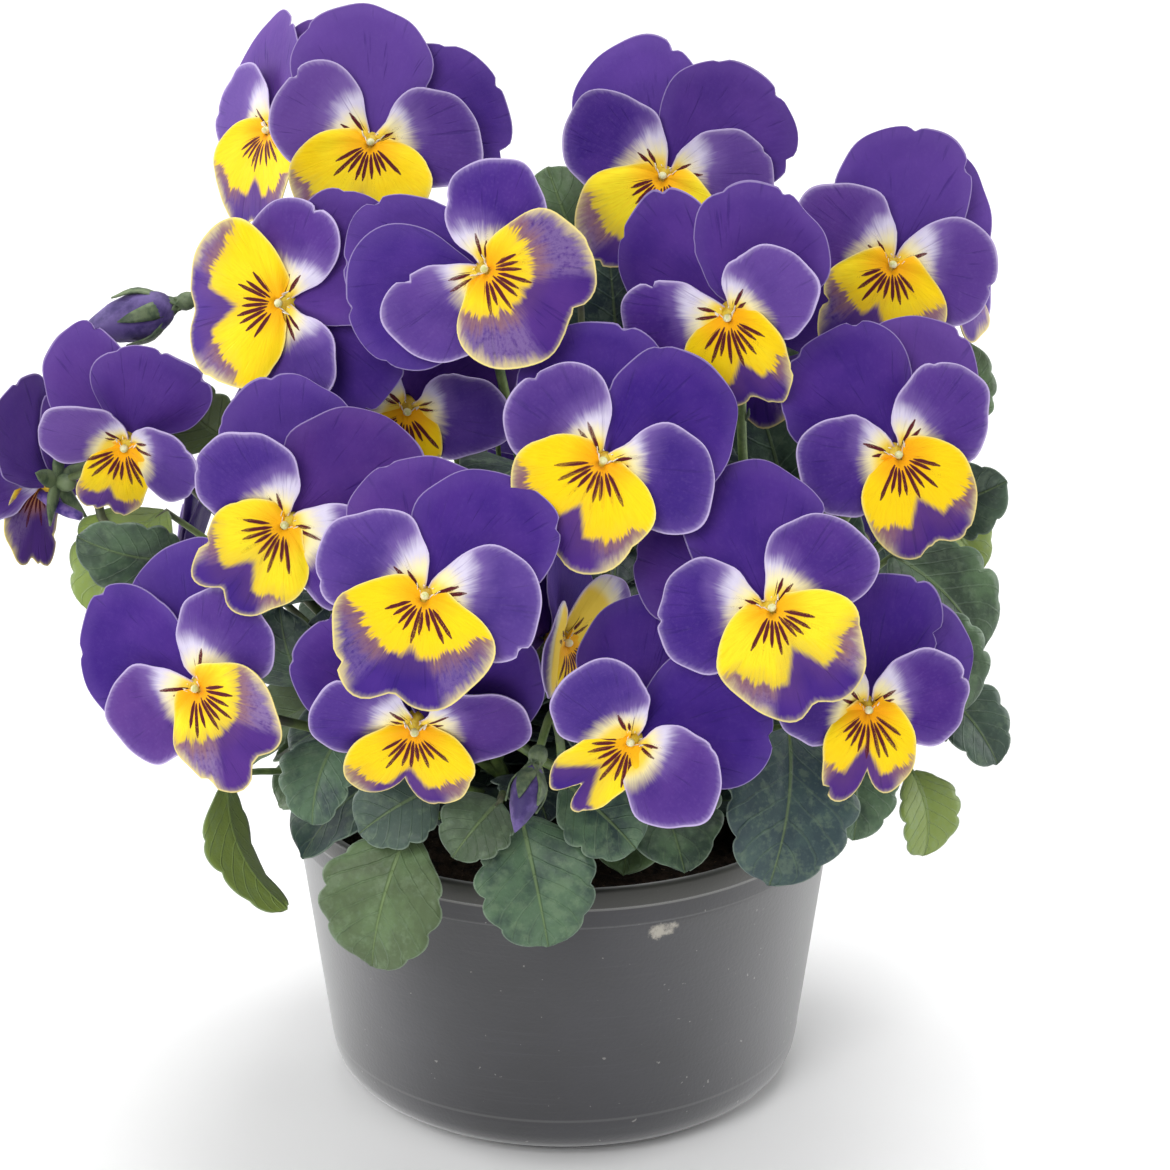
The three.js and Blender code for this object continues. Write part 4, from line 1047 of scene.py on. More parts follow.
def petal_list(spec, item):
    """Kind, turn and layer of the five petals of a bloom, as in the solids."""
    fold = spec.get("fold", 0)
    behind = -1 if draw(item, 4) < 0.5 else 1
    back, front = spec.get("uppers", (behind * UPPER_ANGLE, -behind * UPPER_ANGLE))
    lower = {**LOWER, "half": LOWER["half"] * spec.get("lip", 1) * (1 - fold / FOLD_NARROWS)}
    petals = [
        (UPPER, -3 - 2 * draw(item, 5), back),
        (UPPER, 1 + draw(item, 6), front),
        (LATERAL, fold - 2 * draw(item, 7), LATERAL_ANGLE),
        (LATERAL, fold - 2 * draw(item, 8), -LATERAL_ANGLE),
        (lower, 4 * draw(item, 9), 180),
    ]
    placed = []
    for i, (kind, tilt, angle) in enumerate(petals):
        most = UPPER_SPREAD if i < 2 and "uppers" not in spec else OTHER_SPREAD
        kind = {**kind, "tilt": kind["tilt"] + tilt}
        placed.append((kind, angle + spread(item, 10 + i, most), LAYERS[i] * LAYER))
    return placed


def petal_tips(spec, item, push):
    """The corners at the petals' tips, as in the solids."""
    bloom = Frame(spec, push)
    tips = []
    for i, (kind, turn, layer) in enumerate(petal_list(spec, item)):
        base, along, _, normal = petal_axes(bloom, kind, turn, layer)
        notch = LOWER_NOTCH if i == 4 else 0
        a = kind["length"] * spec["size"] * (1 - notch)
        q = a / kind["length"]
        point = base + along * a + normal * (kind["length"] * kind["curl"] * q * q)
        steep = unit(normal - along * 2 * kind["curl"] * q)
        tips.append(point + steep * PETAL_THICKNESS / 2)
        tips.append(point - steep * PETAL_THICKNESS / 2)
    return tips


def corners_of(node):
    """A search tree over the corners of one solid, in millimetres."""
    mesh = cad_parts[node].data
    tree = kdtree.KDTree(len(mesh.vertices))
    for i, vertex in enumerate(mesh.vertices):
        tree.insert(vertex.co / MM, i)
    tree.balance()
    return tree


def nearest(tree, point):
    """How far the nearest corner of a solid is."""
    return tree.find(Vector(point))[2]


def pushes():
    """The steps along its facing that a flower may have been moved by."""
    for trial in range(2 * PUSH_MOST + 1):
        yield math.ceil(trial / 2) * (1 if trial % 2 else -1)


def settled(spec, item, node):
    """A flower with the step that puts it on its solid."""
    tree = corners_of(node)
    def miss(push):
        if "length" in spec:
            return nearest(tree, Frame(spec, push).place(0, 0, spec["length"]))
        return float(np.median([nearest(tree, tip) for tip in petal_tips(spec, item, push)]))
    return dict(spec, at=tuple(Frame(spec, min(pushes(), key=miss)).at), item=item, node=node)


def beard(piece, bloom, item):
    """Short white hairs at the foot of each side petal."""
    for side in (-1, 1):
        for k in range(HAIRS):
            trait = 60 + 2 * HAIRS * (side > 0) + k
            x = side * (0.9 + 1.3 * draw(item, trait))
            y = 0.1 + 1.9 * draw(item + 50, trait)
            root = bloom.place(x, y, 0.1)
            lean = side * 0.5 * draw(item + 90, trait)
            tip = bloom.place(x - lean, y - 0.2, 0.6 + 0.6 * draw(item, trait + 9))
            tube(piece, [root, (root + tip) / 2, tip], HAIR_RADII, 4, "beard")


def bloom_piece(spec):
    """One open bloom: five petals, throat, stigma, beard and spur."""
    item, size = spec["item"], spec["size"]
    bloom = Frame(spec)
    piece = Piece(spec["node"] + "_petals")
    for i, (kind, turn, layer) in enumerate(petal_list(spec, item)):
        axes = petal_axes(bloom, kind, turn, layer)
        seed = item * 5 + i
        if i < 4:
            look = "upper" if i < 2 else "lateral"
            oval_petal(piece, axes, kind, size, look, seed, -1 if i == 2 else 1, spec.get("cream", 0))
        else:
            zone = spec.get("zone", 13 + spread(item, 21, 1.8))
            wedge = spec.get("wedge", 8.5 + spread(item, 22, 1.2))
            lower_petal(piece, axes, kind, size, seed, zone, wedge, spec.get("notch", 0.03))
    tube(piece, [bloom.place(0, 0, z) for z in THROAT_PATH], THROAT_RADII, 12, "throat")
    axes = [axis * half for axis, half in zip((bloom.right, bloom.up, bloom.face), STIGMA_HALF)]
    ball(piece, bloom.place(0, 0.1, 1.15), axes, "stigma")
    beard(piece, bloom, item)
    places = np.linspace(0, 1, 9)
    spur = through([bloom.place(*p) for p in SPUR_PATH], places)
    tube(piece, spur, np.interp(places, [0, 0.75, 1], SPUR_RADII), 10, "spur")
    return piece


def bud_piece(spec):
    """A closed bud: petals rolled round each other in a pointed spindle."""
    bloom = Frame(spec)
    length, radius, item = spec["length"], spec["radius"], spec["item"]
    piece = Piece(spec["node"] + "_petals")
    z = np.linspace(0, 1, BUD_ROWS)
    profile = np.interp(z, BUD_PLACES, (BUD_NECK / radius, *BUD_RADII)) * radius
    zz, tt = np.meshgrid(z, turns(BUD_COLUMNS), indexing="ij")
    whorl = np.mod(tt * 3 / (2 * math.pi) + 0.9 * zz + 0.2 * item, 1)
    rr = profile[:, None] * (1 - 0.13 * smooth(whorl, 0.86, 1) + 0.06 * whorl)
    points = bloom.place(rr * np.cos(tt), rr * np.sin(tt), BUD_BASE + (length - BUD_BASE) * zz)
    piece.add(points.reshape(-1, 3), walls(BUD_ROWS, BUD_COLUMNS), "bud")
    return piece


# Stems
def soil_height(x, y):
    """Height of the soil's top, as in the solids."""
    r = np.hypot(x, y) / RIM_RADIUS
    clods = np.sin(0.31 * x + 1.3) * np.cos(0.27 * y - 0.6) + 0.6 * np.sin(0.52 * y + 0.4 * x)
    return SOIL_TOP + SOIL_CROWN * (1 - r * r) + SOIL_BUMP * clods * (1 - r)


def make_stems():
    """The paths of the twelve stems, as in the solids."""
    stems = []
    for ring_index, ring in enumerate(STEM_RINGS):
        for i in range(ring["count"]):
            item = ring_index * 20 + i
            angle = math.radians(ring["turn"] + 360 / ring["count"] * i + spread(item, 1, STEM_TURN_SPREAD))
            out = heading(angle)
            side = np.array([-out[1], out[0], 0])
            root = out * ring["root"]
            tip = out * ring["reach"] + UP * (ring["top"] + spread(item, 2, STEM_TOP_SPREAD))
            knee = root + (tip - root) * STEM_KNEE + side * spread(item, 3, STEM_SWAY)
            knee[2] = SOIL_TOP + STEM_KNEE_HEIGHT * (tip[2] - SOIL_TOP)
            ground = soil_height(root[0], root[1])
            foot = root + UP * (ground - HOLE_DEPTH + GAP)
            neck = root + UP * (ground + STEM_NECK)
            node = "leafy_stem_%02d" % (len(stems) + 1)
            stems.append({
                "node": node, "out": out, "points": np.array([foot, neck, knee, tip]), "stalks": 0,
                "corners": corners_of(node), "index": len(stems), "piece": Piece(node + "_fine"),
            })
    return stems


def stem_point(stem, u):
    """The point of a stem at a share of its path."""
    return through(stem["points"], [u])[0]


def nearest_stems(stems, place, height):
    return sorted(stems, key=lambda stem: np.linalg.norm(stem_point(stem, height) - place))[:STEMS_TRIED]


def sepal_tips(spec):
    """The points of the five sepals, as in the solids."""
    bloom = Frame(spec)
    closed = "length" in spec
    reach = spec["radius"] + 2 if closed else SEPAL_LENGTH
    z = BUD_BASE - GAP if closed else -CUP_FRONT - SEPAL_SWEEP
    return [bloom.place(reach * math.sin(turn), reach * math.cos(turn), z) for turn in turns(SEPALS)]


def stalk_points(start, spec, bend):
    """The points that a flower's hooked stalk runs through, as in the solids."""
    bloom = Frame(spec)
    end = bloom.place(0, 0, -CUP_FRONT - CUP_HEART * CUP_LENGTH) + UP * CUP_EDGE
    back = bloom.place(0, 0, -CUP_FRONT - CUP_LENGTH)
    level = unit(bloom.face * (1, 1, 0))
    sideways = np.array([-level[1], level[0], 0])
    aside, inwards, behind = bend
    crook = back - level * (HOOK_BACK + behind) + UP * (CROOK_LIFT * behind - HOOK_DROP)
    top = back - level * HOOK_BACK * HOOK_TOP + UP * HOOK_RISE
    middle = (start + crook) / 2 + sideways * aside - level * inwards
    return np.array([start, middle, crook, top, end])


def find_stalk(spec, stems):
    """The stem that carries a flower, and the path of its stalk."""
    tips = sepal_tips(spec)
    stem = min(stems, key=lambda one: sum(nearest(one["corners"], tip) for tip in tips))
    start = stem_point(stem, STALK_FIRST + STALK_SPACING * (stem["stalks"] % STALK_LEVELS))
    def miss(bend):
        points = stalk_points(start, spec, bend)
        steps = STALK_STEPS if np.linalg.norm(points[2] - start) > STALK_LONG else STALK_STEPS - 1
        centres = through(points, even_places(points, steps + 1)[1:-1])
        return sum(abs(nearest(stem["corners"], centre) - STALK_RADIUS) for centre in centres)
    stem["stalks"] += 1
    return stem, stalk_points(start, spec, min(STALK_BENDS, key=miss))


def leaf_axes(from_, to, facing):
    """Length, direction along, direction across and normal of a leaf blade."""
    along = to - from_
    length = np.linalg.norm(along)
    along = along / length
    across = unit(np.cross(along, facing))
    return length, along, across, np.cross(across, along)


def leaf_miss(stem, start, from_, to, facing):
    """How far a leaf's tip and its widest corners lie from the corners of a stem's solid."""
    _, along, _, normal = leaf_axes(from_, to, facing)
    steep = unit(normal + along * 4 * LEAF_ARCH)
    found = [nearest(stem["corners"], to + steep * side * LEAF_THICKNESS / 2) for side in (-1, 1)]
    if max(found) > LEAF_FOUND:
        return max(found) + 1
    neck = bowed(start, petiole_bow(start, from_), from_, [PETIOLE_SPOT])[0]
    return max(found) + PETIOLE_WEIGHT * abs(nearest(stem["corners"], neck) - PETIOLE_CORNER)


def best_leaf(tries):
    """The try that lies on a solid, if any does."""
    miss, _, found = min((leaf_miss(*places[:-1]), i, places) for i, places in enumerate(tries))
    return found if miss < LEAF_FOUND else None


def placed_leaf_tries(stems, from_, to, az, el, wide):
    """The places of a listed leaf, slid, turned and carried as the solids may have it."""
    facing = Frame(flower(from_, az, el, 0)).face
    level = unit(facing * (1, 1, 0))
    reach = np.subtract(to, from_)
    for slide in LEAF_SLIDES:
        root = from_ + level * slide
        for stem in nearest_stems(stems, from_, 0.5):
            for height in LEAF_STARTS:
                for turn in LEAF_TURNS[:PLACED_TURNS]:
                    spin = np.array(Matrix.Rotation(math.radians(turn), 3, Vector(facing)))
                    yield stem, stem_point(stem, height), root, root + spin @ reach, facing, wide


def grown_leaf_tries(stem, i):
    """The places of a leaf that grows from its stem, slid and turned as the solids may have it."""
    item = FIRST_LEAF_ITEM + stem["index"] * 10 + i
    start = stem_point(stem, LEAF_FIRST + LEAF_SPACING * i)
    around = LEAF_HEADING * (i + 0.5) + spread(item, 1, 20)
    first = math.atan2(stem["out"][1], stem["out"][0]) + math.radians(around)
    length = LEAF_LENGTH + LEAF_LENGTH_MORE * draw(item, 2)
    drop = LEAF_DROP + LEAF_DROP_MORE * draw(item, 3)
    for slide in LEAF_SLIDES:
        for turn in LEAF_TURNS:
            direction = heading(first + math.radians(turn))
            from_ = start + direction * (PETIOLE_REACH + abs(slide)) + UP * (PETIOLE_RISE + slide)
            yield stem, start, from_, from_ + direction * length - UP * drop, unit(UP + direction * 0.2), 1


def bowed(start, middle, end, places):
    """Points at places from 0 to 1 on the curve from start to end that middle draws aside."""
    w = np.asarray(places, float)[:, None]
    return (1 - w) ** 2 * start + 2 * w * (1 - w) * middle + w * w * end


def leaf_half(s):
    """Half the width of a leaf at s, as a share of the widest."""
    s = np.asarray(s, float)
    rising = LEAF_BASE + (1 - LEAF_BASE) * np.sin(math.pi / 2 * np.clip(s / LEAF_WIDEST, 0, 1)) ** FLANK_POWER
    beyond = np.clip((s - LEAF_WIDEST) / (1 - LEAF_WIDEST), 0, 1)
    return np.where(s > LEAF_WIDEST, np.sqrt(1 - beyond**2), rising)


def blade(piece, from_, to, facing, wide, youth_and_shade, seed, rows=LEAF_ROWS):
    """A leaf blade with rounded teeth, raised between its veins."""
    length, along, across, normal = leaf_axes(from_, to, facing)
    s = np.linspace(0, 1, rows) ** 0.9
    s[-1] = LEAF_END
    s, t = np.meshgrid(s, np.linspace(-1, 1, LEAF_COLUMNS + 1), indexing="ij")
    out = np.abs(t)
    phase = TEETH * (s - TOOTH_START) + 0.25 * np.sign(t) * draw(seed, 41)
    bite = (1 - np.abs(np.sin(math.pi * phase)) ** TOOTH_ROUNDNESS) * smooth(s, 0.04, 0.2)
    half = LEAF_HALF * length * wide * leaf_half(s)
    b = t * half * (1 - NICK * bite * smooth(out, 0.45, 1))
    a = s * length * (1 - TIP_NICK * bite * smooth(s, 0.8, 0.97) * smooth(out, 0.2, 0.9))
    swell = np.abs(np.sin(math.pi * (VEINS * s - VEIN_SLANT * out))) ** 0.7
    quilt = LEAF_QUILT * swell * smooth(out, 0.02, 0.2) * smooth(1.04 - out, 0, 0.2)
    ripple = LEAF_RIPPLE * length * np.sin(9 * s + 5 * draw(seed, 42)) * t * t * np.sign(t)
    groove = GROOVE_DEPTH * np.exp(-((b / GROOVE_HALF) ** 2))
    h = LEAF_ARCH * length * 4 * s * (1 - s) + LEAF_FOLD * np.abs(b) + quilt + ripple - groove
    grid = from_ + a[..., None] * along + b[..., None] * across + h[..., None] * normal
    edge = np.minimum((1 - out) * half, (1 - s) * length + 0.3)
    thickness = LEAF_EDGE + (FINE_LEAF - LEAF_EDGE) * smooth(edge, 0, 2)
    marks = np.stack([s, t, edge], -1)
    tones = np.stack([np.full_like(s, youth_and_shade), np.full_like(s, draw(seed, 43) * 2 - 1), half], -1)
    sheet(piece, grid, thickness, "leaf", marks, tones)


def petiole_bow(start, from_):
    """The point that a petiole bows towards, as in the solids."""
    return start + (from_ - start) * 0.6 + UP * PETIOLE_BOW * np.linalg.norm(start - from_)


def leaf(piece, start, from_, to, facing, wide, youth_and_shade, seed, rows=LEAF_ROWS, girth=PETIOLE_RADIUS):
    """A petiole and its blade."""
    length, along, _, normal = leaf_axes(from_, to, facing)
    path = bowed(start, petiole_bow(start, from_), from_, np.linspace(0, 1, 8))
    path = np.vstack([path, from_ + along * 0.1 * length + normal * 0.05 * length])
    tube(piece, path, girth * np.interp(np.arange(9), PETIOLE_POINTS, PETIOLE_GIRTHS), 7, "stem")
    blade(piece, from_, to, facing, wide, youth_and_shade, seed, rows)


def calyx(piece, spec):
    """Receptacle and five pointed sepals, with their short lobes behind."""
    bloom = Frame(spec)
    closed = "length" in spec
    front = BUD_BASE - GAP if closed else -CUP_FRONT
    up, right, face = bloom.up, bloom.right, bloom.face
    heart = bloom.place(0, 0, front - 0.5 * CUP_LENGTH)
    ball(piece, heart, (right * CUP_RADIUS * 0.8, up * CUP_RADIUS * 0.8, face * 0.5 * CUP_LENGTH), "sepal")
    share = np.linspace(0, 1, 12)
    half = SEPAL_HALF * np.interp(share, SEPAL_PLACES, SEPAL_WIDTHS)
    aside = np.linspace(-1, 1, 5)
    root = bloom.place(0, 0, front - 1.0)
    for turn, tip in zip(turns(SEPALS), sepal_tips(spec)):
        out = right * math.sin(turn) + up * math.cos(turn)
        swell = face * 0.5
        if closed:
            tip = bloom.place(*(BUD_WRAP * spec["radius"] * n for n in (math.sin(turn), math.cos(turn), 1.7)))
            swell = out * 0.5 * spec["radius"]
        back = root - out * 1.4 - face * 2.6
        line = through([back, root, root + (tip - root) * 0.5 + swell, tip], np.linspace(0.12, 1, 12))
        grid = line[:, None] + half[:, None, None] * (
            aside[:, None] * np.cross(face, out) + SEPAL_TROUGH * aside[:, None] ** 2 * face
        )
        plain = np.zeros_like(grid)
        sheet(piece, grid, np.full(grid.shape[:2], SEPAL_THICKNESS), "sepal", plain, plain)


def flower_stalk(piece, points):
    """A hooked stalk that thins towards its flower, with a pair of tiny bracts."""
    places = np.linspace(0, 1, 26)
    tube(piece, through(points, places), np.interp(places, [0, 0.1, 1], STALK_RADII), 8, "stem")
    spot = through(points, [0.5, 0.53])
    ahead = unit(spot[1] - spot[0])
    side = unit(np.cross(ahead, UP + 0.01))
    for sign in (-1, 1):
        root = spot[0] + side * sign * 0.6
        tip = root + side * sign * 0.9 + ahead * 2.6
        tube(piece, [root, (root + tip) / 2 + side * sign * 0.3, tip], BRACT_RADII, 5, "sepal")


def stipules(piece, place, out, seed):
    """The pair of small leafy lobes where a petiole leaves the stem."""
    for k, sign in enumerate((-1, 1)):
        angle = math.atan2(out[1], out[0]) + sign * (0.9 + 0.3 * draw(seed, 50 + k))
        direction = unit(heading(angle, 0.9))
        tip = place + direction * (7.5 + 2.5 * draw(seed, 52 + k))
        blade(piece, place + direction * 0.6, tip, unit(UP + 0.3 * direction), 0.75, 0.25, seed, rows=14)


def is_clear(start, from_, to, facing, keep_clear, taken):
    """Whether a leaf is clear of the solids and of the other inner leaves, which it then joins."""
    length, along, across, normal = leaf_axes(from_, to, facing)
    spots = [
        from_ + along * s * length + across * b * 0.42 * length + normal * 0.6 * s * (1 - s) * length
        for s in (0.05, 0.3, 0.55, 0.8, 1.0) for b in (-0.9, -0.4, 0.4, 0.9) if s < 1 or abs(b) < 0.5
    ]
    petiole = list(bowed(start, (start + from_) / 2 + UP, from_, (0.4, 0.6, 0.8, 1)))
    if min(keep_clear.find_nearest(Vector(p))[3] for p in spots + petiole) < INNER_CLEARANCE:
        return False
    if taken and min(np.linalg.norm(np.array(taken) - p, axis=1).min() for p in spots) < LEAF_CLEARANCE:
        return False
    if max(math.hypot(p[0], p[1]) for p in spots) > INNER_REACH or min(p[2] for p in spots) < INNER_LOWEST:
        return False
    taken.extend(spots)
    return True


def gap_leaf_tries(stems, seed, from_, to, az, el):
    """Ever wider shifts of a leaf that closes a gap."""
    facing = Frame(flower(from_, az, el, 0)).face
    for trial in range(GAP_TRIALS):
        shift = np.array([spread(seed, 3 * trial + n, 0.25 * trial) for n in range(3)])
        root = np.array(from_) + shift
        stem = nearest_stems(stems, root, 0.8)[0]
        yield stem, stem_point(stem, GAP_STEM_START), root, np.array(to) + shift, facing


def inner_leaf_tries(stem, seed, i, many):
    """Turns of a leaf round its stem, from which the first clear one is taken."""
    full = INNER_LENGTH + INNER_LENGTH_MORE * draw(seed, 3)
    full += MIDDLE_LENGTH_MORE if stem["index"] >= OUTER_STEMS else 0
    start = stem_point(stem, INNER_FIRST + INNER_SPAN * (i + 0.5 * draw(seed, 1)) / many)
    for trial in range(INNER_TRIALS):
        turn = LEAF_HEADING * i + INNER_TURN * trial + 50 * draw(seed, 2) + 40 * stem["index"]
        direction = heading(math.radians(turn))
        length = full - 0.3 * trial
        from_ = start + direction * (7 + 4 * draw(seed, 4)) + UP * (4 + 5 * draw(seed, 5))
        to = from_ + direction * length * 0.85 + UP * length * (0.55 * draw(seed, 6) - 0.12)
        yield stem, start, from_, to, unit(UP + direction * 0.1)


def inner_leaves(stems, keep_clear):
    """More leaves within the plant, each where it is clear of the flowers and the other leaves."""
    taken = []
    def lay(tries, youth_and_shade, seed):
        for stem, *places in tries:
            if is_clear(*places, keep_clear, taken):
                leaf(stem["piece"], *places, 1, youth_and_shade, seed, rows=INNER_ROWS, girth=INNER_GIRTH)
                return
    for k, spec in enumerate(GAP_LEAVES):
        seed = GAP_SEED + k
        lay(gap_leaf_tries(stems, seed, *spec), INNER_PAINTED_SHADE / 2, seed)
    for stem in stems:
        many = INNER_LEAVES_PER_STEM + (MORE_ON_MIDDLE_STEMS if stem["index"] >= OUTER_STEMS else 0)
        for i in range(many):
            seed = INNER_SEED + stem["index"] * 20 + i
            lay(inner_leaf_tries(stem, seed, i, many), INNER_PAINTED_SHADE, seed)


def leafy_stems(flowers):
    """The twelve leafy stems, with their stalks, calyxes and leaves."""
    stems = make_stems()
    places = np.linspace(0, 1, 30)
    swell = 1 + 0.14 * np.maximum(0, np.cos(2 * math.pi * (places - LEAF_FIRST) / LEAF_SPACING)) ** 8
    radii = np.interp(places, [0, 1], [STEM_RADIUS, STEM_TIP_RADIUS]) * swell
    for stem in stems:
        tube(stem["piece"], through(stem["points"], places), radii, 10, "stem")
    for spec in flowers:
        stem, points = find_stalk(spec, stems)
        flower_stalk(stem["piece"], points)
        calyx(stem["piece"], spec)
    found = [best_leaf(placed_leaf_tries(stems, *spec[:-1])) for spec in PLACED_LEAVES]
    found += [best_leaf(grown_leaf_tries(stem, i)) for stem in stems for i in range(LEAVES_PER_STEM)]
    for seed, one in enumerate(found):
        if one:
            stem, start, from_, to, facing, wide = one
            youth_and_shade = PLACED_LEAVES[seed][-1] if seed < len(PLACED_LEAVES) else 0.6 * draw(seed, 44) ** 2
            leaf(stem["piece"], start, from_, to, facing, wide, youth_and_shade, seed)
            stipules(stem["piece"], start, unit((from_ - start) * (1, 1, 0)), seed)
    inner_leaves(stems, solids_tree())
    for stem in stems:
        stem["piece"].make("foliage", stem["node"])


def solids_tree():
    """A search tree over the faces of the flowers, pot and soil: every solid but the leafy stems and their
    leaves.
    """
    points, faces = [], []
    for node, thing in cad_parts.items():
        if node.startswith("leafy"):
            continue
        first = len(points)
        points.extend(v.co / MM for v in thing.data.vertices)
        faces.extend([tuple(i + first for i in p.vertices) for p in thing.data.polygons])
    return BVHTree.FromPolygons(points, faces)


# Pot and soil
def pot_profile():
    """Radius and height of the pot's section, from the middle of its underside round to its inside."""
    low = LOWER_WALL_RADIUS
    return [
        (0, 0), (FOOT_RADIUS - 1.2, 0), (FOOT_RADIUS - 0.2, 0.25), (FOOT_RADIUS + 0.4, 1.0),
        (FOOT_RADIUS + SOFT_EDGE, FOOT_HEIGHT - 0.2), (FOOT_RADIUS + 1.0, FOOT_HEIGHT),
        (low - 3.2, FOOT_HEIGHT + 0.5), (low - 2.2, FOOT_HEIGHT + 1.2), (low - 1.2, FOOT_HEIGHT + 2.4),
        (low - 0.5, FOOT_HEIGHT + 4.2), (low, LOWER_WALL_Z), (low + 0.12, LOWER_WALL_Z + 0.8),
        (low + 0.35, LOWER_WALL_Z + 3), (WALL_TOP, COLLAR_Z - SOFT_EDGE), (WALL_TOP + 0.15, COLLAR_Z - 0.25),
        (RIM_RADIUS - WALL_INSET - 0.05, COLLAR_Z), (RIM_RADIUS - WALL_INSET, COLLAR_Z + 0.3),
        (RIM_RADIUS - 0.35, LIP_Z - 0.2), (RIM_RADIUS - 0.05, LIP_Z),
        (RIM_RADIUS, LIP_Z + 0.3), (RIM_RADIUS, POT_HEIGHT - SOFT_EDGE),
        (RIM_RADIUS - 0.2, POT_HEIGHT - 0.15), (RIM_RADIUS - SOFT_EDGE, POT_HEIGHT),
        (RIM_RADIUS - LIP_WIDTH + 0.3, POT_HEIGHT), (RIM_RADIUS - LIP_WIDTH, POT_HEIGHT - 0.25),
        (WALL_TOP - WALL, COLLAR_Z - 1), (low - WALL, LOWER_WALL_Z), (low - WALL - 3, FLOOR), (0, FLOOR),
    ]


def drill(pot):
    """Cuts the drain holes."""
    shape = bmesh.new()
    for i in range(DRAIN_COUNT):
        angle = (i + 0.5) / DRAIN_COUNT * 2 * math.pi
        place = Matrix.Translation(Vector(heading(angle)) * DRAIN_RING * MM)
        bmesh.ops.create_cone(
            shape, cap_ends=True, segments=24, radius1=DRAIN_RADIUS * MM, radius2=DRAIN_RADIUS * MM,
            depth=4 * FLOOR * MM, matrix=place,
        )
    cutter_mesh = bpy.data.meshes.new("drain_cutter")
    shape.to_mesh(cutter_mesh)
    shape.free()
    cutter = show("drain_cutter", cutter_mesh)
    cut = pot.modifiers.new("drains", "BOOLEAN")
    cut.operation = "DIFFERENCE"
    cut.solver = "EXACT"
    cut.object = cutter
    bpy.context.view_layer.update()
    graph = bpy.context.evaluated_depsgraph_get()
    mesh = bpy.data.meshes.new_from_object(pot.evaluated_get(graph))
    pot.modifiers.clear()
    pot.data = mesh
    bpy.data.objects.remove(cutter)
    mesh.polygons.foreach_set("use_smooth", [True] * len(mesh.polygons))
    edges = pot.modifiers.new("edges", "EDGE_SPLIT")
    edges.split_angle = math.radians(50)


def make_pot():
    """The pot: one body turned from its profile, with drain holes."""
    piece = Piece("pot_fine")
    start, *profile, end = pot_profile()
    skin(piece, level_rings(profile, POT_SIDES), [(0, 0, start[1]), (0, 0, end[1])], "pot")
    drill(piece.make("pot", "pot"))


def make_soil():
    """Soil with a rough crumbly top that closes round the stems."""
    piece = Piece("soil_fine")
    wall = WALL_TOP - WALL - GAP - 0.5
    rr, tt = np.meshgrid(np.linspace(0.02, 1, SOIL_RINGS) * wall, turns(SOIL_SIDES), indexing="ij")
    x, y = rr * np.cos(tt), rr * np.sin(tt)
    rough = 0.5 * np.sin(1.3 * x + 0.8 * y) * np.sin(1.1 * y - 0.7 * x)
    rough += 0.35 * np.sin(2.9 * x + 1) * np.cos(2.3 * y)
    rough += 0.25 * np.sin(5.1 * x - 2 * y) * np.sin(4.3 * y + x)
    z = soil_height(x, y) + rough - 0.35 + 0.4 * np.clip((rr - wall + 5) / 5, 0, 1)
    inner = LOWER_WALL_RADIUS - WALL
    below = level_rings([(inner - GAP - 0.4, LOWER_WALL_Z + 0.4), (inner - 4, FLOOR + GAP)], SOIL_SIDES)
    points = np.concatenate([np.stack([x, y, z], -1), below])
    faces = [np.append(face[0], face[:0:-1]) for face in walls(SOIL_RINGS + 2, SOIL_SIDES)]
    piece.add(points.reshape(-1, 3), faces, "soil")
    for k in range(CLODS):
        centre = wall * math.sqrt(draw(k, 70)) * 0.97 * heading(2 * math.pi * draw(k, 71))
        size = 0.45 + 1.3 * draw(k, 72) ** 3
        centre[2] = soil_height(centre[0], centre[1]) + 0.35 * size
        spin = CLOD_SPIN * draw(k, 73)
        first = heading(spin, 0.3) * size * (0.8 + 0.5 * draw(k, 74))
        second = heading(spin + math.pi / 2, 0.2) * size * (0.6 + 0.4 * draw(k, 75))
        ball(piece, centre, (first, second, UP * size * 0.7), "soil", rings=4, sides=6)
    piece.make("soil", "soil")


# Floor, light and camera
FLOOR_HALF = 6.0
SKY_STRENGTH = 0.44
LIGHT_TARGET = Vector((0, 0, 0.12))
# Name, place in metres, size and power of each light
LIGHTS = [
    ("front_light", (-0.5, -1.3, 1.0), 0.8, 13),
    ("left_light", (-1.5, 0.5, 0.45), 1.0, 16),
    ("right_light", (1.5, 0.5, 0.45), 1.0, 13),
    ("top_light", (0.1, 0.5, 1.7), 1.2, 20),
]
CAMERA_DISTANCE = 850
CAMERA_ELEVATION = math.radians(24.1)
SENSOR = 36
FRAME_PIXELS = 1170
FRAME_MIDDLE = 585
PIXELS_PER_MM = 4.98
RIM_PIXEL_X = 562
RIM_PIXEL_Y = 773


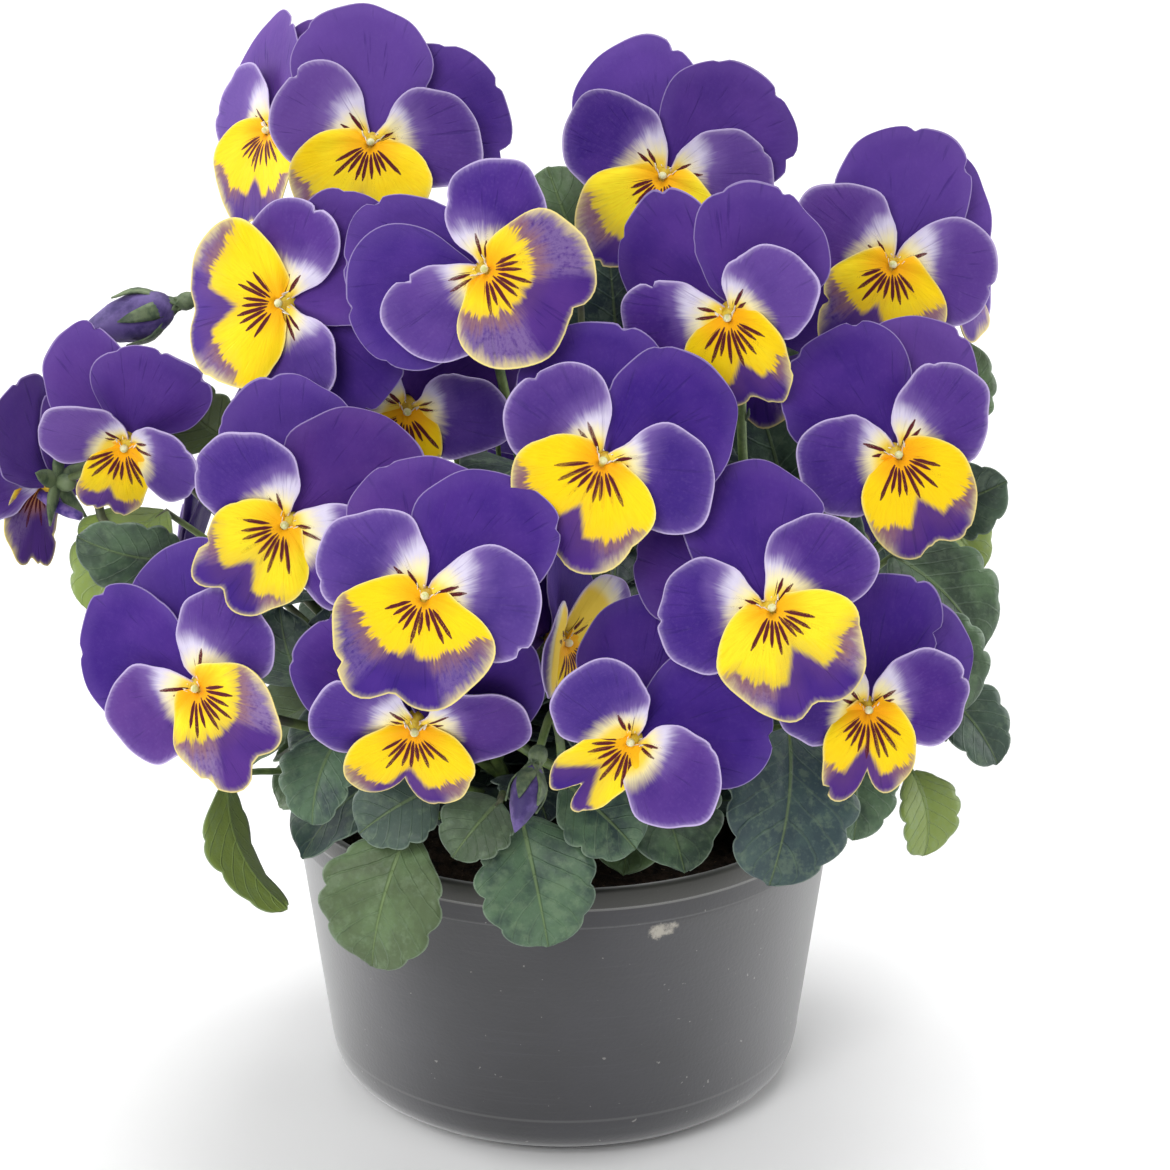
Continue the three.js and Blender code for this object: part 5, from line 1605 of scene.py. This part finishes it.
def make_floor():
    t = Tree("floor", 0.8, 0.2)
    t.base = t.mix(t.noise(t.place(), 3, 2), srgb(250, 250, 250), srgb(246, 246, 246))
    mesh = bpy.data.meshes.new("studio_floor")
    corners = [(x * FLOOR_HALF, y * FLOOR_HALF, 0) for x, y in ((-1, -1), (1, -1), (1, 1), (-1, 1))]
    mesh.from_pydata(corners, [], [(0, 1, 2, 3)])
    mesh.materials.append(t.finish())
    show("studio_floor", mesh)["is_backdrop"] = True


def make_light():
    world = bpy.data.worlds.new("studio")
    world.use_nodes = True
    sky = world.node_tree.nodes["Background"]
    sky.inputs["Color"].default_value = (1, 1, 1, 1)
    sky.inputs["Strength"].default_value = SKY_STRENGTH
    bpy.context.scene.world = world
    for name, place, size, power in LIGHTS:
        light = bpy.data.lights.new(name, "AREA")
        light.energy = power
        light.size = size
        lamp = show(name, light)
        lamp.location = place
        lamp.rotation_euler = (LIGHT_TARGET - Vector(place)).to_track_quat("-Z", "Y").to_euler()


def make_camera():
    """A far camera above the rim, turned so that the rim's middle lies where it does in the frame."""
    focal = PIXELS_PER_MM * CAMERA_DISTANCE
    pitch = -(CAMERA_ELEVATION - math.atan((RIM_PIXEL_Y - FRAME_MIDDLE) / focal))
    yaw = math.atan((RIM_PIXEL_X - FRAME_MIDDLE) / focal)
    data = bpy.data.cameras.new("camera")
    data.lens = focal / FRAME_PIXELS * SENSOR
    data.sensor_width = SENSOR
    data.clip_end = 20
    camera = show("camera", data)
    back, rise = math.cos(CAMERA_ELEVATION), math.sin(CAMERA_ELEVATION)
    place = Vector((0, -CAMERA_DISTANCE * back, POT_HEIGHT + CAMERA_DISTANCE * rise))
    spin = Matrix.Rotation(yaw, 4, "Z") @ Matrix.Rotation(math.pi / 2 + pitch, 4, "X")
    camera.matrix_world = Matrix.Translation(place * MM) @ spin
    bpy.context.scene.camera = camera


def main():
    flowers = [settled(spec, i, "bloom_%02d" % (i + 1)) for i, spec in enumerate(BLOOMS)]
    flowers += [settled(spec, len(BLOOMS) + i, "bud_%02d" % (i + 1)) for i, spec in enumerate(BUDS)]
    for spec in flowers:
        piece = bud_piece(spec) if "length" in spec else bloom_piece(spec)
        piece.make("petals", spec["node"])
    leafy_stems(flowers)
    make_pot()
    make_soil()
    make_floor()
    make_light()
    make_camera()
    bpy.context.scene.view_settings.view_transform = "Standard"


main()
bpy.context.view_layer.update()
{"cad": [list(corner) for corner in cad_box], "scene": [list(corner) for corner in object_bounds()]}
